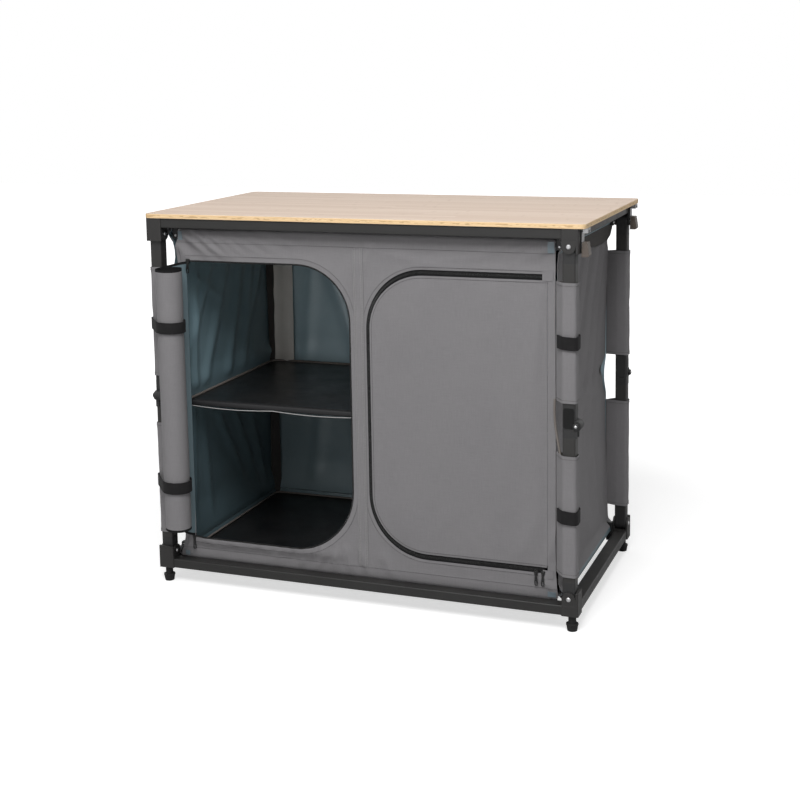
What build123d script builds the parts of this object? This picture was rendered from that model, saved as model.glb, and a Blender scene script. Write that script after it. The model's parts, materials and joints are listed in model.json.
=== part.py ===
from build123d import *
import os

# Folding camping kitchen cupboard: a collapsible aluminium frame with a fabric cupboard
# hung in it and a lift-off bamboo worktop. All sizes are millimetres, +Z is up, the floor
# is z = 0, +X is to the right and -Y is the front with the doors.

# Place of the frame's centre in the part's own coordinates
frame_centre_x = -6.5
frame_centre_y = 25.0

# Driving heights
total_height = 820.0
worktop_thickness = 10.0
base_height = 33.0
top_height = total_height - worktop_thickness
mirror_height = (base_height + top_height) / 2

# Corner brackets and leg places
bracket_wall_side = 20.0
bracket_open_side = 15.0
bracket_half_width = 17.5
bracket_corner = 2.5
bracket_block_height = 21.3
bracket_height = 49.0
ear_inner = 13.3
ear_outer = 17.3
ear_radius = 14.0
wall_inner = 14.5
pivot_above_base = 35.0
leg_x_front_right = 453.0
leg_y_front_right = 244.5
leg_x_back_right = 455.5
leg_y_back_right = 242.0
corners = {
    "front_right": (leg_x_front_right, -leg_y_front_right, 0),
    "back_right": (leg_x_back_right, leg_y_back_right, 90),
    "back_left": (-leg_x_front_right, leg_y_front_right, 180),
    "front_left": (-leg_x_back_right, -leg_y_back_right, 270),
}

# Rails
rail_height = 20.0
rail_depth = 28.0
rail_wall = 1.2
rail_above_base = 0.5
rail_setback = 2.5
long_rail_half = 438.0
short_rail_half = 227.0
frame_half_x = 473.0
frame_half_y = 262.0
spigot_length = 24.0
spigot_clearance = 0.2

# Leg tubes, their end fittings and the knee
tube_width = 26.0
tube_corner = 3.0
tube_wall = 1.5
insert_width = 22.8
insert_length = 18.0
pivot_fitting_radius = 12.8
pivot_fitting_length = 34.0
pin_radius = 4.0
running_hole = 4.08
fixed_hole = 4.03
rivet_head = 4.8
rivet_slope = 1.6
knee_head = 6.0
knee_pin_offset = 14.5
knee_lug_radius = 10.5
knee_clear_radius = 11.2
knee_split = 8.0
knee_gap = 0.5
knee_collar = 17.25
knee_block = 52.25
centre_lug_half = 5.0
side_lug_inner = 5.4
side_lug_outer = 12.6
rib_inner = 3.0
rib_outer = 15.5
knob_radius = 6.5
knob_length = 5.0

# Levelling feet
foot_offset_x = 4.5
foot_offset_y = -2.0
foot_pad_top = 15.0
foot_collar_low = 12.0
foot_pad_radius = 10.0
foot_collar_radius = 12.5
foot_neck_radius = 8.0
foot_thread_radius = 3.9
foot_bore_radius = 4.1
foot_thread_top = 48.0
foot_bore_top = 51.5

# Cover rods and their holders, with the holders' places along the long rails
rod_radius = 4.0
rod_hole = 4.05
rod_base_z = 61.0
rod_top_z = 2 * mirror_height - rod_base_z
long_rod_y = 226.5
short_rod_x = 433.0
short_rod_half = 216.0
holder_width = 14.0
holder_low = 36.0
holder_high = 79.0
holder_neck = 5.0
holder_face_y = 230.8
holder_back_y = 221.5
holder_face_x = 441.8
holder_back_x = 428.5
base_holder_x = (-427.0, 414.0)
top_holder_x = (-419.0, 428.0)
rod_overhang = 6.0
base_rod_ends = (base_holder_x[0] - rod_overhang, base_holder_x[1] + rod_overhang)
top_rod_ends = (top_holder_x[0] - rod_overhang, top_holder_x[1] + rod_overhang)

# Worktop and its clips
worktop_length = 964.0
worktop_depth = 532.0
worktop_shift_x = 5.0
worktop_shift_y = 3.0
worktop_corner = 12.0
clip_sheet = 1.2
clip_width = 22.0
clip_face_x = 475.0
clip_y = 235.0
clip_pivot_x = 483.0
clip_pivot_z = 803.6
clip_barrel_radius = 2.2
clip_pin_radius = 1.1
clip_bore_radius = 1.17
clip_low = 773.0
clip_knuckle = 9.0
clip_ear = 5.0
clip_ear_drop = 3.0
screw_gap = 0.01
grip_high = 783.0
grip_low = 754.0
grip_inside = 1.0
grip_top = 10.0
grip_flare = 14.0
grip_toe = 3.0
locating_gap = 0.6
locating_thickness = 1.5
locating_low = 786.0

# Boards
board_thickness = 8.0
board_half_x = 413.0
board_half_y = 220.0
floor_board_low = 58.0
shelf_low = 397.0
divider_x = 4.0

# Fabric cupboard
cloth = 1.5
panel_front_y = 232.4
side_hem_x = 427.8
side_waist_x = 415.5
cover_low = 57.5
cover_high = 788.0
hem_notch_z = 760.0
door_corner = 105.0
tape = 7.0
left_door = (-385.0, -16.0, 103.0, 717.0)
right_door = (24.0, 404.0, 109.0, 711.0)
door_gap = 0.4

# Leg sleeves, straps and the rolled door
sleeve_half = 18.0
sleeve_inner = 15.6
sleeve_upper = (466.0, 704.0)
sleeve_lower = (113.0, 360.0)
strap_half = 19.6
strap_upper = (576.0, 597.0)
strap_lower = (226.0, 246.0)
roll_x = -411.0
roll_y = -289.0
roll_radius = 28.5
roll_core = 7.0
roll_low = 120.0
roll_high = 704.0
roll_strap_upper = (572.0, 592.0)
roll_strap_lower = (222.0, 242.0)

# Zip sliders
slider_width = 9.0
slider_height = 13.0
slider_depth = 5.0
slider_gap = 0.2
pull_width = 7.0
pull_length = 26.0
pull_depth = 2.0
moving_slider_place = (380.0, right_door[2] - tape / 2 - 0.5)
parked_slider_places = (
    (395.0, right_door[2] - tape / 2 - 0.5),
    (left_door[0] - 4.0, left_door[3] - 2.0),
    (left_door[0] - 12.0, left_door[2] - 4.0),
)


def block(x_low, x_high, y_low, y_high, z_low, z_high):
    """A box between two opposite corners."""
    centre = Pos((x_low + x_high) / 2, (y_low + y_high) / 2, (z_low + z_high) / 2)
    return centre * Box(x_high - x_low, y_high - y_low, z_high - z_low)


def rod_y(radius, x, z, y_low, y_high):
    """A round bar along Y."""
    return Pos(x, (y_low + y_high) / 2, z) * Rot(90, 0, 0) * Cylinder(radius, y_high - y_low)


def rod_x(radius, y, z, x_low, x_high):
    """A round bar along X."""
    return Pos((x_low + x_high) / 2, y, z) * Rot(0, 90, 0) * Cylinder(radius, x_high - x_low)


def rod_z(radius, x, y, z_low, z_high):
    """A round bar along Z."""
    return Pos(x, y, (z_low + z_high) / 2) * Cylinder(radius, z_high - z_low)


def column(width, corner, z_low, z_high):
    """An upright square bar with rounded edges on the leg's axis."""
    return Pos(0, 0, z_low) * extrude(RectangleRounded(width, width, corner), z_high - z_low)


def at_corner(shape, name):
    """Moves a shape from the leg's own axes to its corner of the frame."""
    x, y, turn = corners[name]
    return Pos(x, y, 0) * Rot(0, 0, turn) * shape


def upside_down(shape):
    """Mirrors a shape of the base about mid height, for the top frame."""
    return mirror(shape, Plane.XY.offset(mirror_height))


def at_corners(shape):
    """The same shape at all four corners."""
    return [at_corner(shape, name) for name in corners]


def save(name, shapes):
    """Writes one node, moved to the part's own origin."""
    placed = []
    for shape in shapes:
        for solid in shape.solids():
            placed.append(Pos(frame_centre_x, frame_centre_y, 0) * solid)
    target = placed[0] if len(placed) == 1 else Compound(children=placed)
    export_step(target, os.path.join("parts", name + ".step"))


# Corner brackets: a block that takes the rails' ends, with a U housing for the leg above it
def corner_bracket():
    base = base_height
    pivot = base + pivot_above_base
    block_top = base + bracket_block_height
    plan_width = bracket_wall_side + bracket_open_side
    plan = RectangleRounded(plan_width, 2 * bracket_half_width, bracket_corner)
    plan = Pos(bracket_wall_side - plan_width / 2, 0, base) * extrude(plan, bracket_height)
    housing = block(-20, wall_inner, -ear_inner, ear_inner, block_top, base + bracket_height + 1)
    shoulder = block(-20, wall_inner, -20, 20, block_top, base + bracket_height + 1)
    ears = rod_y(ear_radius, 0, pivot, -ear_outer, ear_outer)
    ears += block(-ear_radius, wall_inner, -ear_outer, ear_outer, block_top - 1, pivot)
    ears -= block(-20, wall_inner, -ear_inner, ear_inner, block_top, base + bracket_height + 1)
    body = (plan - housing - shoulder) + ears
    body -= rod_y(fixed_hole, 0, pivot, -20, 20)
    rail_middle = base + rail_above_base + rail_height / 2
    spigot_half = rail_depth / 2 - rail_wall - spigot_clearance
    spigot_rise = rail_height / 2 - rail_wall - spigot_clearance
    low = rail_middle - spigot_rise
    high = rail_middle + spigot_rise
    y_middle = rail_setback - bracket_half_width + rail_depth / 2
    x_middle = bracket_wall_side - rail_setback - rail_depth / 2
    body += block(-bracket_open_side - spigot_length, -bracket_open_side + 1,
                  y_middle - spigot_half, y_middle + spigot_half, low, high)
    body += block(x_middle - spigot_half, x_middle + spigot_half,
                  bracket_half_width - 1, bracket_half_width + spigot_length, low, high)
    return body


def base_bracket():
    bore = rod_z(foot_bore_radius, foot_offset_x, foot_offset_y, base_height - 1, foot_bore_top)
    return corner_bracket() - bore


def pivot_pin():
    """A rivet through the two ears, with a domed head on each side."""
    pivot = base_height + pivot_above_base
    pin = rod_y(pin_radius, 0, pivot, -ear_outer, ear_outer)
    for side in (-1, 1):
        head = Pos(0, side * (ear_outer + 0.8), pivot) * Rot(-90 * side, 0, 0)
        pin += head * Cone(rivet_head, rivet_head - rivet_slope, 1.6)
    return pin


# Rails: hollow rectangular tubes between the brackets
def rail(length, section_plane):
    """Tube of the given length, its section's width and height on the plane's own axes."""
    outer = RectangleRounded(rail_depth, rail_height, 2.0)
    inner = Rectangle(rail_depth - 2 * rail_wall, rail_height - 2 * rail_wall)
    return section_plane * (Pos(0, 0, -length / 2) * extrude(outer - inner, length))


def long_rails():
    y = frame_half_y - rail_setback - rail_depth / 2
    z = base_height + rail_above_base + rail_height / 2
    bar = rail(2 * long_rail_half, Plane.YZ)
    return [Pos(0, -y, z) * bar, Pos(0, y, z) * bar]


def short_rails():
    x = frame_half_x - rail_setback - rail_depth / 2
    z = base_height + rail_above_base + rail_height / 2
    bar = rail(2 * short_rail_half, Plane.XZ)
    return [Pos(-x, 0, z) * bar, Pos(x, 0, z) * bar]


# Cover rods run in the hems of the fabric and end in holders on the rails
def rods(z, long_ends):
    left, right = long_ends
    bars = [rod_x(rod_radius, side * long_rod_y, z, left, right) for side in (-1, 1)]
    for side in (-1, 1):
        bars.append(rod_y(rod_radius, side * short_rod_x, z, -short_rod_half, short_rod_half))
    return bars


def holder_boxes(long_places, grow=0.0):
    """Blocks of the base frame's holders, with their own rod's axis."""
    boxes = []
    for x in long_places:
        for side in (-1, 1):
            near, far = sorted((side * (holder_back_y - grow), side * (holder_face_y + grow)))
            boxes.append(block(x - holder_width / 2 - grow, x + holder_width / 2 + grow,
                               near, far, holder_low, holder_high + grow))
    return boxes


def rod_holders(long_places):
    holders = []
    rail_z = (holder_low + 2, base_height + rail_above_base + rail_height - 1)
    for x in long_places:
        for side in (-1, 1):
            near, far = sorted((side * holder_back_y, side * holder_face_y))
            body = block(x - holder_width / 2, x + holder_width / 2, near, far,
                         holder_low, holder_high)
            body = fillet(body.edges().filter_by(Axis.Y), 3.0)
            rail_face = frame_half_y - rail_setback - rail_depth
            near, far = sorted((side * (holder_face_y - 1), side * rail_face))
            body += block(x - holder_neck, x + holder_neck, near, far, rail_z[0], rail_z[1])
            body -= rod_x(rod_hole, side * long_rod_y, rod_base_z, x - 20, x + 20)
            holders.append(body)
    for x_side in (-1, 1):
        for y_side in (-1, 1):
            y = y_side * (short_rod_half - holder_width / 2)
            near, far = sorted((x_side * holder_back_x, x_side * holder_face_x))
            body = block(near, far, y - holder_width / 2, y + holder_width / 2,
                         holder_low, holder_high)
            body = fillet(body.edges().filter_by(Axis.X), 3.0)
            rail_face = frame_half_x - rail_setback - rail_depth
            near, far = sorted((x_side * (holder_face_x - 1), x_side * rail_face))
            body += block(near, far, y - holder_neck, y + holder_neck, rail_z[0], rail_z[1])
            body -= rod_y(rod_hole, x_side * short_rod_x, rod_base_z, y - 20, y + 20)
            holders.append(body)
    return holders


# Levelling feet: a threaded stem that screws into the bracket and a rubber pad
def foot():
    x, y = foot_offset_x, foot_offset_y
    stem = rod_z(foot_neck_radius, x, y, foot_pad_top, base_height - 0.2)
    stem += rod_z(foot_thread_radius, x, y, base_height - 1, foot_thread_top)
    collar = rod_z(foot_collar_radius, x, y, foot_collar_low, foot_pad_top)
    taper = Pos(x, y, foot_collar_low / 2) * Cone(foot_pad_radius, foot_collar_radius - 0.5,
                                                foot_collar_low)
    return [stem, collar + taper]


# Legs: each is two tubes joined by a knee whose pin lies outside the tubes
def pivot_fitting():
    """Lower end of a lower leg, rounded about the pivot, with an insert for the tube."""
    pivot = base_height + pivot_above_base
    top = pivot + pivot_fitting_length
    profile = rod_y(pivot_fitting_radius, 0, pivot, -20, 20)
    profile += block(-20, 20, -20, 20, pivot, top)
    fitting = column(tube_width, tube_corner, pivot - pivot_fitting_radius - 1, top) & profile
    fitting += column(insert_width, 1.6, top - 1, top + insert_length)
    return fitting - rod_y(running_hole, 0, pivot, -20, 20)


def lower_knee():
    """Collar on top of the lower tube with two side lugs that carry the knee pin."""
    split = mirror_height - knee_split - knee_gap / 2
    low = split - knee_collar
    body = column(tube_width, tube_corner, low, split)
    body += column(insert_width, 1.6, low - insert_length, low + 1)
    for side in (-1, 1):
        near, far = sorted((side * side_lug_inner, side * side_lug_outer))
        body += block(rib_inner, rib_outer, near, far, low, split)
        body += rod_y(knee_lug_radius, knee_pin_offset, mirror_height, near, far)
    slot = side_lug_inner - 0.1
    body -= rod_y(knee_clear_radius, knee_pin_offset, mirror_height, -slot, slot)
    return body - rod_y(fixed_hole, knee_pin_offset, mirror_height, -20, 20)


def upper_knee():
    """Block under the upper tube with one centre lug that turns on the knee pin."""
    split = mirror_height - knee_split + knee_gap / 2
    high = split + knee_block
    body = column(tube_width, tube_corner, split, high)
    body += column(insert_width, 1.6, high - 1, high + insert_length)
    panel_z = (split + 22, high - 10)
    body -= block(-9, 9, -tube_width / 2 - 1, -tube_width / 2 + 0.8, panel_z[0], panel_z[1])
    for side in (-1, 1):
        near, far = sorted((side * (side_lug_inner - 0.2), side * 20))
        body -= rod_y(knee_clear_radius, knee_pin_offset, mirror_height, near, far)
    body += rod_y(knee_lug_radius, knee_pin_offset, mirror_height,
                  -centre_lug_half, centre_lug_half)
    return body - rod_y(running_hole, knee_pin_offset, mirror_height, -20, 20)


def knee_pin():
    pin = rod_y(pin_radius, knee_pin_offset, mirror_height, -side_lug_outer, side_lug_outer)
    knob = rod_y(knob_radius, knee_pin_offset, mirror_height,
                 -side_lug_outer - knob_length, -side_lug_outer)
    knob = chamfer(knob.edges().group_by(Axis.Y)[0], 1.2)
    head = rod_y(knee_head, knee_pin_offset, mirror_height, side_lug_outer,
                 side_lug_outer + 2)
    return pin + knob + head


def leg_tube(z_low, z_high):
    outer = RectangleRounded(tube_width, tube_width, tube_corner)
    inner_width = tube_width - 2 * tube_wall
    inner = RectangleRounded(inner_width, inner_width, tube_corner - tube_wall)
    return Pos(0, 0, z_low) * extrude(outer - inner, z_high - z_low)


# Worktop: a laminated bamboo board that rests on the four top brackets
def worktop():
    board = extrude(RectangleRounded(worktop_length, worktop_depth, worktop_corner),
                    worktop_thickness)
    board = chamfer(board.edges().filter_by(Plane.XY), 0.8)
    return Pos(worktop_shift_x, worktop_shift_y, top_height) * board


def clip_plate(y):
    """Bent sheet screwed under the worktop's right edge, with ears and a pin for the clip."""
    half = clip_width / 2
    outer = clip_pivot_x + clip_ear
    under = top_height - screw_gap
    plate = block(frame_half_x + 0.4, outer, y - half, y + half, under - clip_sheet, under)
    plate += block(outer - clip_sheet, outer, y - half, y + half,
                   clip_pivot_z + clip_ear_drop, under)
    for side in (-1, 1):
        near, far = sorted((y + side * (clip_knuckle + 0.2), y + side * half))
        plate += block(clip_pivot_x - clip_ear, outer, near, far,
                       clip_pivot_z - clip_ear_drop, under)
    return plate + rod_y(clip_pin_radius, clip_pivot_x, clip_pivot_z, y - half, y + half)


def locating_plate(y):
    """Strip under the left edge that stands just outside the top bracket."""
    outer = -frame_half_x - locating_gap
    return block(outer - locating_thickness, outer, y - clip_width / 2, y + clip_width / 2,
                 locating_low, top_height - screw_gap)


def clip_strip(y):
    """Spring strip that turns on the plate's pin and lies along the bracket's outer face."""
    low, high = y - clip_knuckle, y + clip_knuckle
    elbow = clip_pivot_z - clip_barrel_radius
    strip = block(clip_face_x, clip_face_x + clip_sheet, low, high, clip_low, elbow)
    strip += block(clip_face_x, clip_pivot_x, low, high, elbow, elbow + clip_sheet)
    strip += rod_y(clip_barrel_radius, clip_pivot_x, clip_pivot_z, low, high)
    return strip - rod_y(clip_bore_radius, clip_pivot_x, clip_pivot_z, low - 1, high + 1)


def clip_grip(y):
    """Moulded finger grip on the lower end of the strip, flared outwards."""
    face = clip_face_x + clip_sheet
    inner, outer = face - grip_inside, face + grip_flare
    outline = Polyline((face, grip_high), (face + grip_top, grip_high),
                       (outer, grip_low + grip_toe), (outer - grip_toe, grip_low),
                       (inner, grip_low), (inner, clip_low - 2 * grip_toe), (face, clip_low),
                       close=True)
    side = Plane.XZ * make_face(outline)
    return Pos(0, y + clip_width / 2, 0) * extrude(side, clip_width)


# Boards
def board(x_low, x_high, z_low):
    slab = block(x_low, x_high, -board_half_y, board_half_y, z_low, z_low + board_thickness)
    return fillet(slab.edges().filter_by(Axis.Z), 4.0)


# Fabric panels: thin sheets whose upright edges draw in at mid height
def waist_edge(hem_x, waist_x):
    middle = (cover_low + cover_high) / 2
    return ThreePointArc((hem_x, cover_low), (waist_x, middle), (hem_x, cover_high))


def panel_outline():
    right = waist_edge(side_hem_x, side_waist_x)
    left = waist_edge(-side_hem_x, -side_waist_x)
    low = Line((-side_hem_x, cover_low), (side_hem_x, cover_low))
    high = Line((-side_hem_x, cover_high), (side_hem_x, cover_high))
    return make_face([low, right, high, left])


def door_outline(door, round_left, grow=0.0):
    """Door shape with two round corners on its free side, grown towards the free edges."""
    x_low, x_high, z_low, z_high = door
    z_low, z_high = z_low - grow, z_high + grow
    radius = door_corner + grow
    free, fixed = (x_low - grow, x_high) if round_left else (x_high + grow, x_low)
    inward = 1 if round_left else -1
    top = Line((fixed, z_high), (free + inward * radius, z_high))
    bend = inward * radius * (1 - 0.5 ** 0.5)
    high = ThreePointArc(top @ 1, (free + bend, z_high - abs(bend)), (free, z_high - radius))
    edge = Line(high @ 1, (free, z_low + radius))
    low = ThreePointArc(edge @ 1, (free + bend, z_low + abs(bend)),
                        (free + inward * radius, z_low))
    bottom = Line(low @ 1, (fixed, z_low))
    close = Line(bottom @ 1, top @ 0)
    return make_face([top, high, edge, low, bottom, close])


def upright_sheet(face, y_outer, thickness):
    """A flat sheet from an XZ outline, its outer face at y_outer, growing towards +Y."""
    return Pos(0, y_outer + thickness, 0) * extrude(Plane.XZ * face, thickness)


def clear_holders(shape):
    """Cuts room for the rod holders at the panel's corners."""
    for box in holder_boxes(base_holder_x, 0.6):
        shape -= box
    for box in holder_boxes(top_holder_x, 0.6):
        shape -= upside_down(box)
    return shape


def cover_front():
    outline = panel_outline()
    outline -= door_outline(left_door, False, tape)
    outline -= door_outline(right_door, True, tape)
    sheet = upright_sheet(outline, -panel_front_y, cloth)
    beyond = holder_width / 2 + 1.5
    sheet -= block(-500, top_holder_x[0] + beyond, -240, -220, hem_notch_z, 800)
    sheet -= block(top_holder_x[1] - beyond, 500, -240, -220, hem_notch_z, 800)
    return sheet - block(-500, base_holder_x[0] + beyond, -240, -220, 50, holder_high + 2)


def cover_back():
    return upright_sheet(panel_outline(), panel_front_y - cloth, cloth)


def cover_side(side):
    half_y = panel_front_y - cloth - 0.2
    outer = waist_edge(side * side_hem_x, side * side_waist_x)
    inner = waist_edge(side * (side_hem_x - cloth), side * (side_waist_x - cloth))
    low = Line(inner @ 0, outer @ 0)
    high = Line(inner @ 1, outer @ 1)
    section = Plane.XZ * make_face([outer, high, inner, low])
    return clear_holders(Pos(0, half_y, 0) * extrude(section, 2 * half_y))


def cover_floor():
    half_x = side_hem_x - cloth - 0.3
    half_y = long_rod_y - rod_radius - 1.0
    low = cover_low - cloth
    return clear_holders(block(-half_x, half_x, -half_y, half_y, low, cover_low))


def cover_divider():
    half = cloth / 2
    return block(divider_x - half, divider_x + half, -board_half_y, board_half_y,
                 floor_board_low + board_thickness + 0.5, cover_high - 4)


def zip_tape(door, round_left):
    """Zip tape along the three free edges of a door opening, in the panel's plane."""
    return upright_sheet(door_outline(door, round_left, tape - 0.1)
                         - door_outline(door, round_left), -panel_front_y, cloth)


def door_right():
    x_low, x_high, z_low, z_high = right_door
    shrunk = (x_low + door_gap, x_high - door_gap, z_low + door_gap, z_high - door_gap)
    return upright_sheet(door_outline(shrunk, True), -panel_front_y, cloth)


# Sleeves hold the cover to the legs, straps close round them
def ring(half, inner, z_low, z_high):
    plan = RectangleRounded(2 * half, 2 * half, 4.5)
    plan -= RectangleRounded(2 * inner, 2 * inner, 3.0)
    return Pos(0, 0, z_low) * extrude(plan, z_high - z_low)


def leg_sleeves():
    shapes = []
    for z_low, z_high in (sleeve_upper, sleeve_lower):
        shapes += at_corners(ring(sleeve_half, sleeve_inner, z_low, z_high))
    return shapes


def roll_strap(z_low, z_high):
    """Band round the rolled door and the leg sleeve behind it."""
    x, y, _ = corners["front_left"]
    shapes = []
    for grow in (0.4, 1.8):
        circle = Pos(roll_x, roll_y) * Circle(roll_radius + grow)
        square = Pos(x, y) * RectangleRounded(2 * (sleeve_half + grow), 2 * (sleeve_half + grow),
                                              4.0 + grow)
        edges = ShapeList(circle.edges() + square.edges())
        shapes.append(make_hull(edges))
    return Pos(0, 0, z_low) * extrude(shapes[1] - shapes[0], z_high - z_low)


def straps():
    shapes = []
    for z_low, z_high in (strap_upper, strap_lower):
        shapes.append(at_corner(ring(strap_half, sleeve_half + 0.2, z_low, z_high), "front_right"))
    shapes.append(roll_strap(*roll_strap_upper))
    shapes.append(roll_strap(*roll_strap_lower))
    return shapes


def door_left_roll():
    """The open door rolled into a hollow bundle beside its opening."""
    bundle = rod_z(roll_radius, roll_x, roll_y, roll_low, roll_high)
    return bundle - rod_z(roll_core, roll_x, roll_y, roll_low - 1, roll_high + 1)


# Zip sliders with a flat pull that hangs in front of the cloth
def slider(x, z):
    face = -panel_front_y - slider_gap
    body = block(x - slider_width / 2, x + slider_width / 2, face - slider_depth, face,
                 z - slider_height / 2, z + slider_height / 2)
    body = fillet(body.edges().filter_by(Axis.Y), 2.5)
    pull = block(x - pull_width / 2, x + pull_width / 2, face - slider_depth,
                 face - slider_depth + pull_depth, z - slider_height / 2 - pull_length,
                 z - slider_height / 2 + 3)
    return body + pull


os.makedirs("parts", exist_ok=True)

# Base frame
save("base_rails_long", long_rails())
save("base_rails_short", short_rails())
save("base_corners", at_corners(base_bracket()))
save("base_pivot_pins", at_corners(pivot_pin()))
save("base_rods", rods(rod_base_z, base_rod_ends))
save("base_rod_holders", rod_holders(base_holder_x))

# Feet and legs, one of each to a corner
for corner in corners:
    save("foot_" + corner, [at_corner(piece, corner) for piece in foot()])
    pivot = base_height + pivot_above_base
    tube_low = pivot + pivot_fitting_length
    lower_end = mirror_height - knee_split - knee_gap / 2 - knee_collar
    upper_end = mirror_height - knee_split + knee_gap / 2 + knee_block
    tube_high = 2 * mirror_height - tube_low
    save("lower_tube_" + corner, [at_corner(leg_tube(tube_low, lower_end), corner)])
    save("upper_tube_" + corner, [at_corner(leg_tube(upper_end, tube_high), corner)])
    lower_fittings = [pivot_fitting(), lower_knee()]
    upper_fittings = [upside_down(pivot_fitting()), upper_knee()]
    save("lower_fittings_" + corner, [at_corner(piece, corner) for piece in lower_fittings])
    save("upper_fittings_" + corner, [at_corner(piece, corner) for piece in upper_fittings])
    save("knee_pin_" + corner, [at_corner(knee_pin(), corner)])

# Top frame, the base frame's pieces turned over
save("top_rails_long", [upside_down(piece) for piece in long_rails()])
save("top_rails_short", [upside_down(piece) for piece in short_rails()])
save("top_corners", [upside_down(piece) for piece in at_corners(corner_bracket())])
save("top_pivot_pins", [upside_down(piece) for piece in at_corners(pivot_pin())])
save("top_rods", rods(rod_top_z, top_rod_ends))
top_holders = [upside_down(piece) for piece in rod_holders(top_holder_x)]
save("top_rod_holders", top_holders)

# Worktop
save("worktop", [worktop()])
plates = [clip_plate(-clip_y), clip_plate(clip_y)]
plates += [locating_plate(-clip_y), locating_plate(clip_y)]
save("worktop_plates", plates)
for place, y in (("front", -clip_y), ("back", clip_y)):
    save("clip_" + place, [clip_strip(y)])
    save("clip_grip_" + place, [clip_grip(y)])

# Boards
save("floor_board", [board(-board_half_x, board_half_x, floor_board_low)])
save("shelf_left", [board(-board_half_x, divider_x - 1.2, shelf_low)])
save("shelf_right", [board(divider_x + 1.2, board_half_x, shelf_low)])

# Fabric cupboard
save("cover_front", [cover_front()])
save("cover_back", [cover_back()])
save("cover_left", [cover_side(-1)])
save("cover_right", [cover_side(1)])
save("cover_floor", [cover_floor()])
save("cover_divider", [cover_divider()])
save("leg_sleeves", leg_sleeves())
save("straps", straps())
save("door_left_roll", [door_left_roll()])
save("door_right", [door_right()])
save("zip_left", [zip_tape(left_door, False)])
save("zip_right", [zip_tape(right_door, True)])
save("zip_slider", [slider(*moving_slider_place)])
save("zip_sliders_parked", [slider(x, z) for x, z in parked_slider_places])
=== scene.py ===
import json
import math
import bpy
import numpy as np
from mathutils import Matrix, Vector
from mathutils.geometry import delaunay_2d_cdt


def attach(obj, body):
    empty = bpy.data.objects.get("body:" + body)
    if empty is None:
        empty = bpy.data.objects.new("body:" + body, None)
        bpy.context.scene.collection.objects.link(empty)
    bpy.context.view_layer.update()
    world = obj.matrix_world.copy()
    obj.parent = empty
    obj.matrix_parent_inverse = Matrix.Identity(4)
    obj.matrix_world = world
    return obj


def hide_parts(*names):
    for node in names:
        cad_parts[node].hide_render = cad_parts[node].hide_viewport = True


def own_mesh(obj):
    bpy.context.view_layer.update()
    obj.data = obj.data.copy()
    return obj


# Folding camping kitchen: materials for the frame, and the cloth, zips and trims round it.
# Lengths are millimetres from the middle of the frame, heights are from the floor.

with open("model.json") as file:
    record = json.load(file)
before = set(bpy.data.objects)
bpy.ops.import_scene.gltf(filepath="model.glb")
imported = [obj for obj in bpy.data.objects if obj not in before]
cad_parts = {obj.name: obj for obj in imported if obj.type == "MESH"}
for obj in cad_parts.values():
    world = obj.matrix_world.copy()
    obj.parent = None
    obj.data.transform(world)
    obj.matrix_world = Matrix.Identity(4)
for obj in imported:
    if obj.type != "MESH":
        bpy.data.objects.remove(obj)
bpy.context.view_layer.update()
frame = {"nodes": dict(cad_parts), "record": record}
nodes = frame["nodes"]
print("frame loaded:", len(nodes), "nodes")

unit = {
    "middleX": -6.5, "middleY": 25.0,  # where the frame's middle stands in the part
    "frontY": 232.4, "sideX": 427.8,  # outer faces of the long and the short walls
    "rodLow": 61.0, "rodHigh": 782.0, "rodY": 226.5, "rodX": 433.0,
    "cornerX": 421.0, "cornerY": 231.0,  # the cover's upright seams
    "seamX": 4.0,  # the divider between the two bays
    "kneeZ": 421.5,
    "foldedAnchor": 0.0575, "foldedKeep": 0.11,  # cloth heap on the base once folded
}
coverMiddle = (0, 0, 421)  # cloth turns its outer side away from here
legs = {  # middle of each leg in plan
    "frontRight": (453.0, -244.5), "backRight": (455.5, 242.0),
    "backLeft": (-453.0, 244.5), "frontLeft": (-455.5, -242.0),
}
legTurns = {"frontRight": 0, "backRight": 90, "backLeft": 180, "frontLeft": 270}
legNames = {"frontRight": "front_right", "backRight": "back_right",
            "backLeft": "back_left", "frontLeft": "front_left"}


def place(points):  # mm about the frame's middle to metres
    points = np.asarray(points, dtype=float)
    return (points + (unit["middleX"], unit["middleY"], 0.0)) / 1000.0


def smooth01(value):
    value = np.clip(value, 0.0, 1.0)
    return value * value * (3.0 - 2.0 * value)


def addObject(name, data):
    made = bpy.data.objects.new(name, data)
    bpy.context.scene.collection.objects.link(made)
    return made


# Node groups, and short hand for building nodes

socketKinds = {float: "NodeSocketFloat", int: "NodeSocketInt", tuple: "NodeSocketVector",
               type(None): "NodeSocketMaterial"}


def addSockets(tree, side, sockets):  # names with their usual values
    for label, value in sockets.items():
        socket = tree.interface.new_socket(label, in_out=side, socket_type=socketKinds[type(value)])
        if value is not None:
            socket.default_value = value


def groupEnds(tree):
    return tree, tree.nodes.new("NodeGroupInput").outputs, tree.nodes.new("NodeGroupOutput").inputs


def startGroup(name, inputs, outputs):
    group = bpy.data.node_groups.new(name, "ShaderNodeTree")
    addSockets(group, "INPUT", inputs)
    addSockets(group, "OUTPUT", outputs)
    return groupEnds(group)


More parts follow.
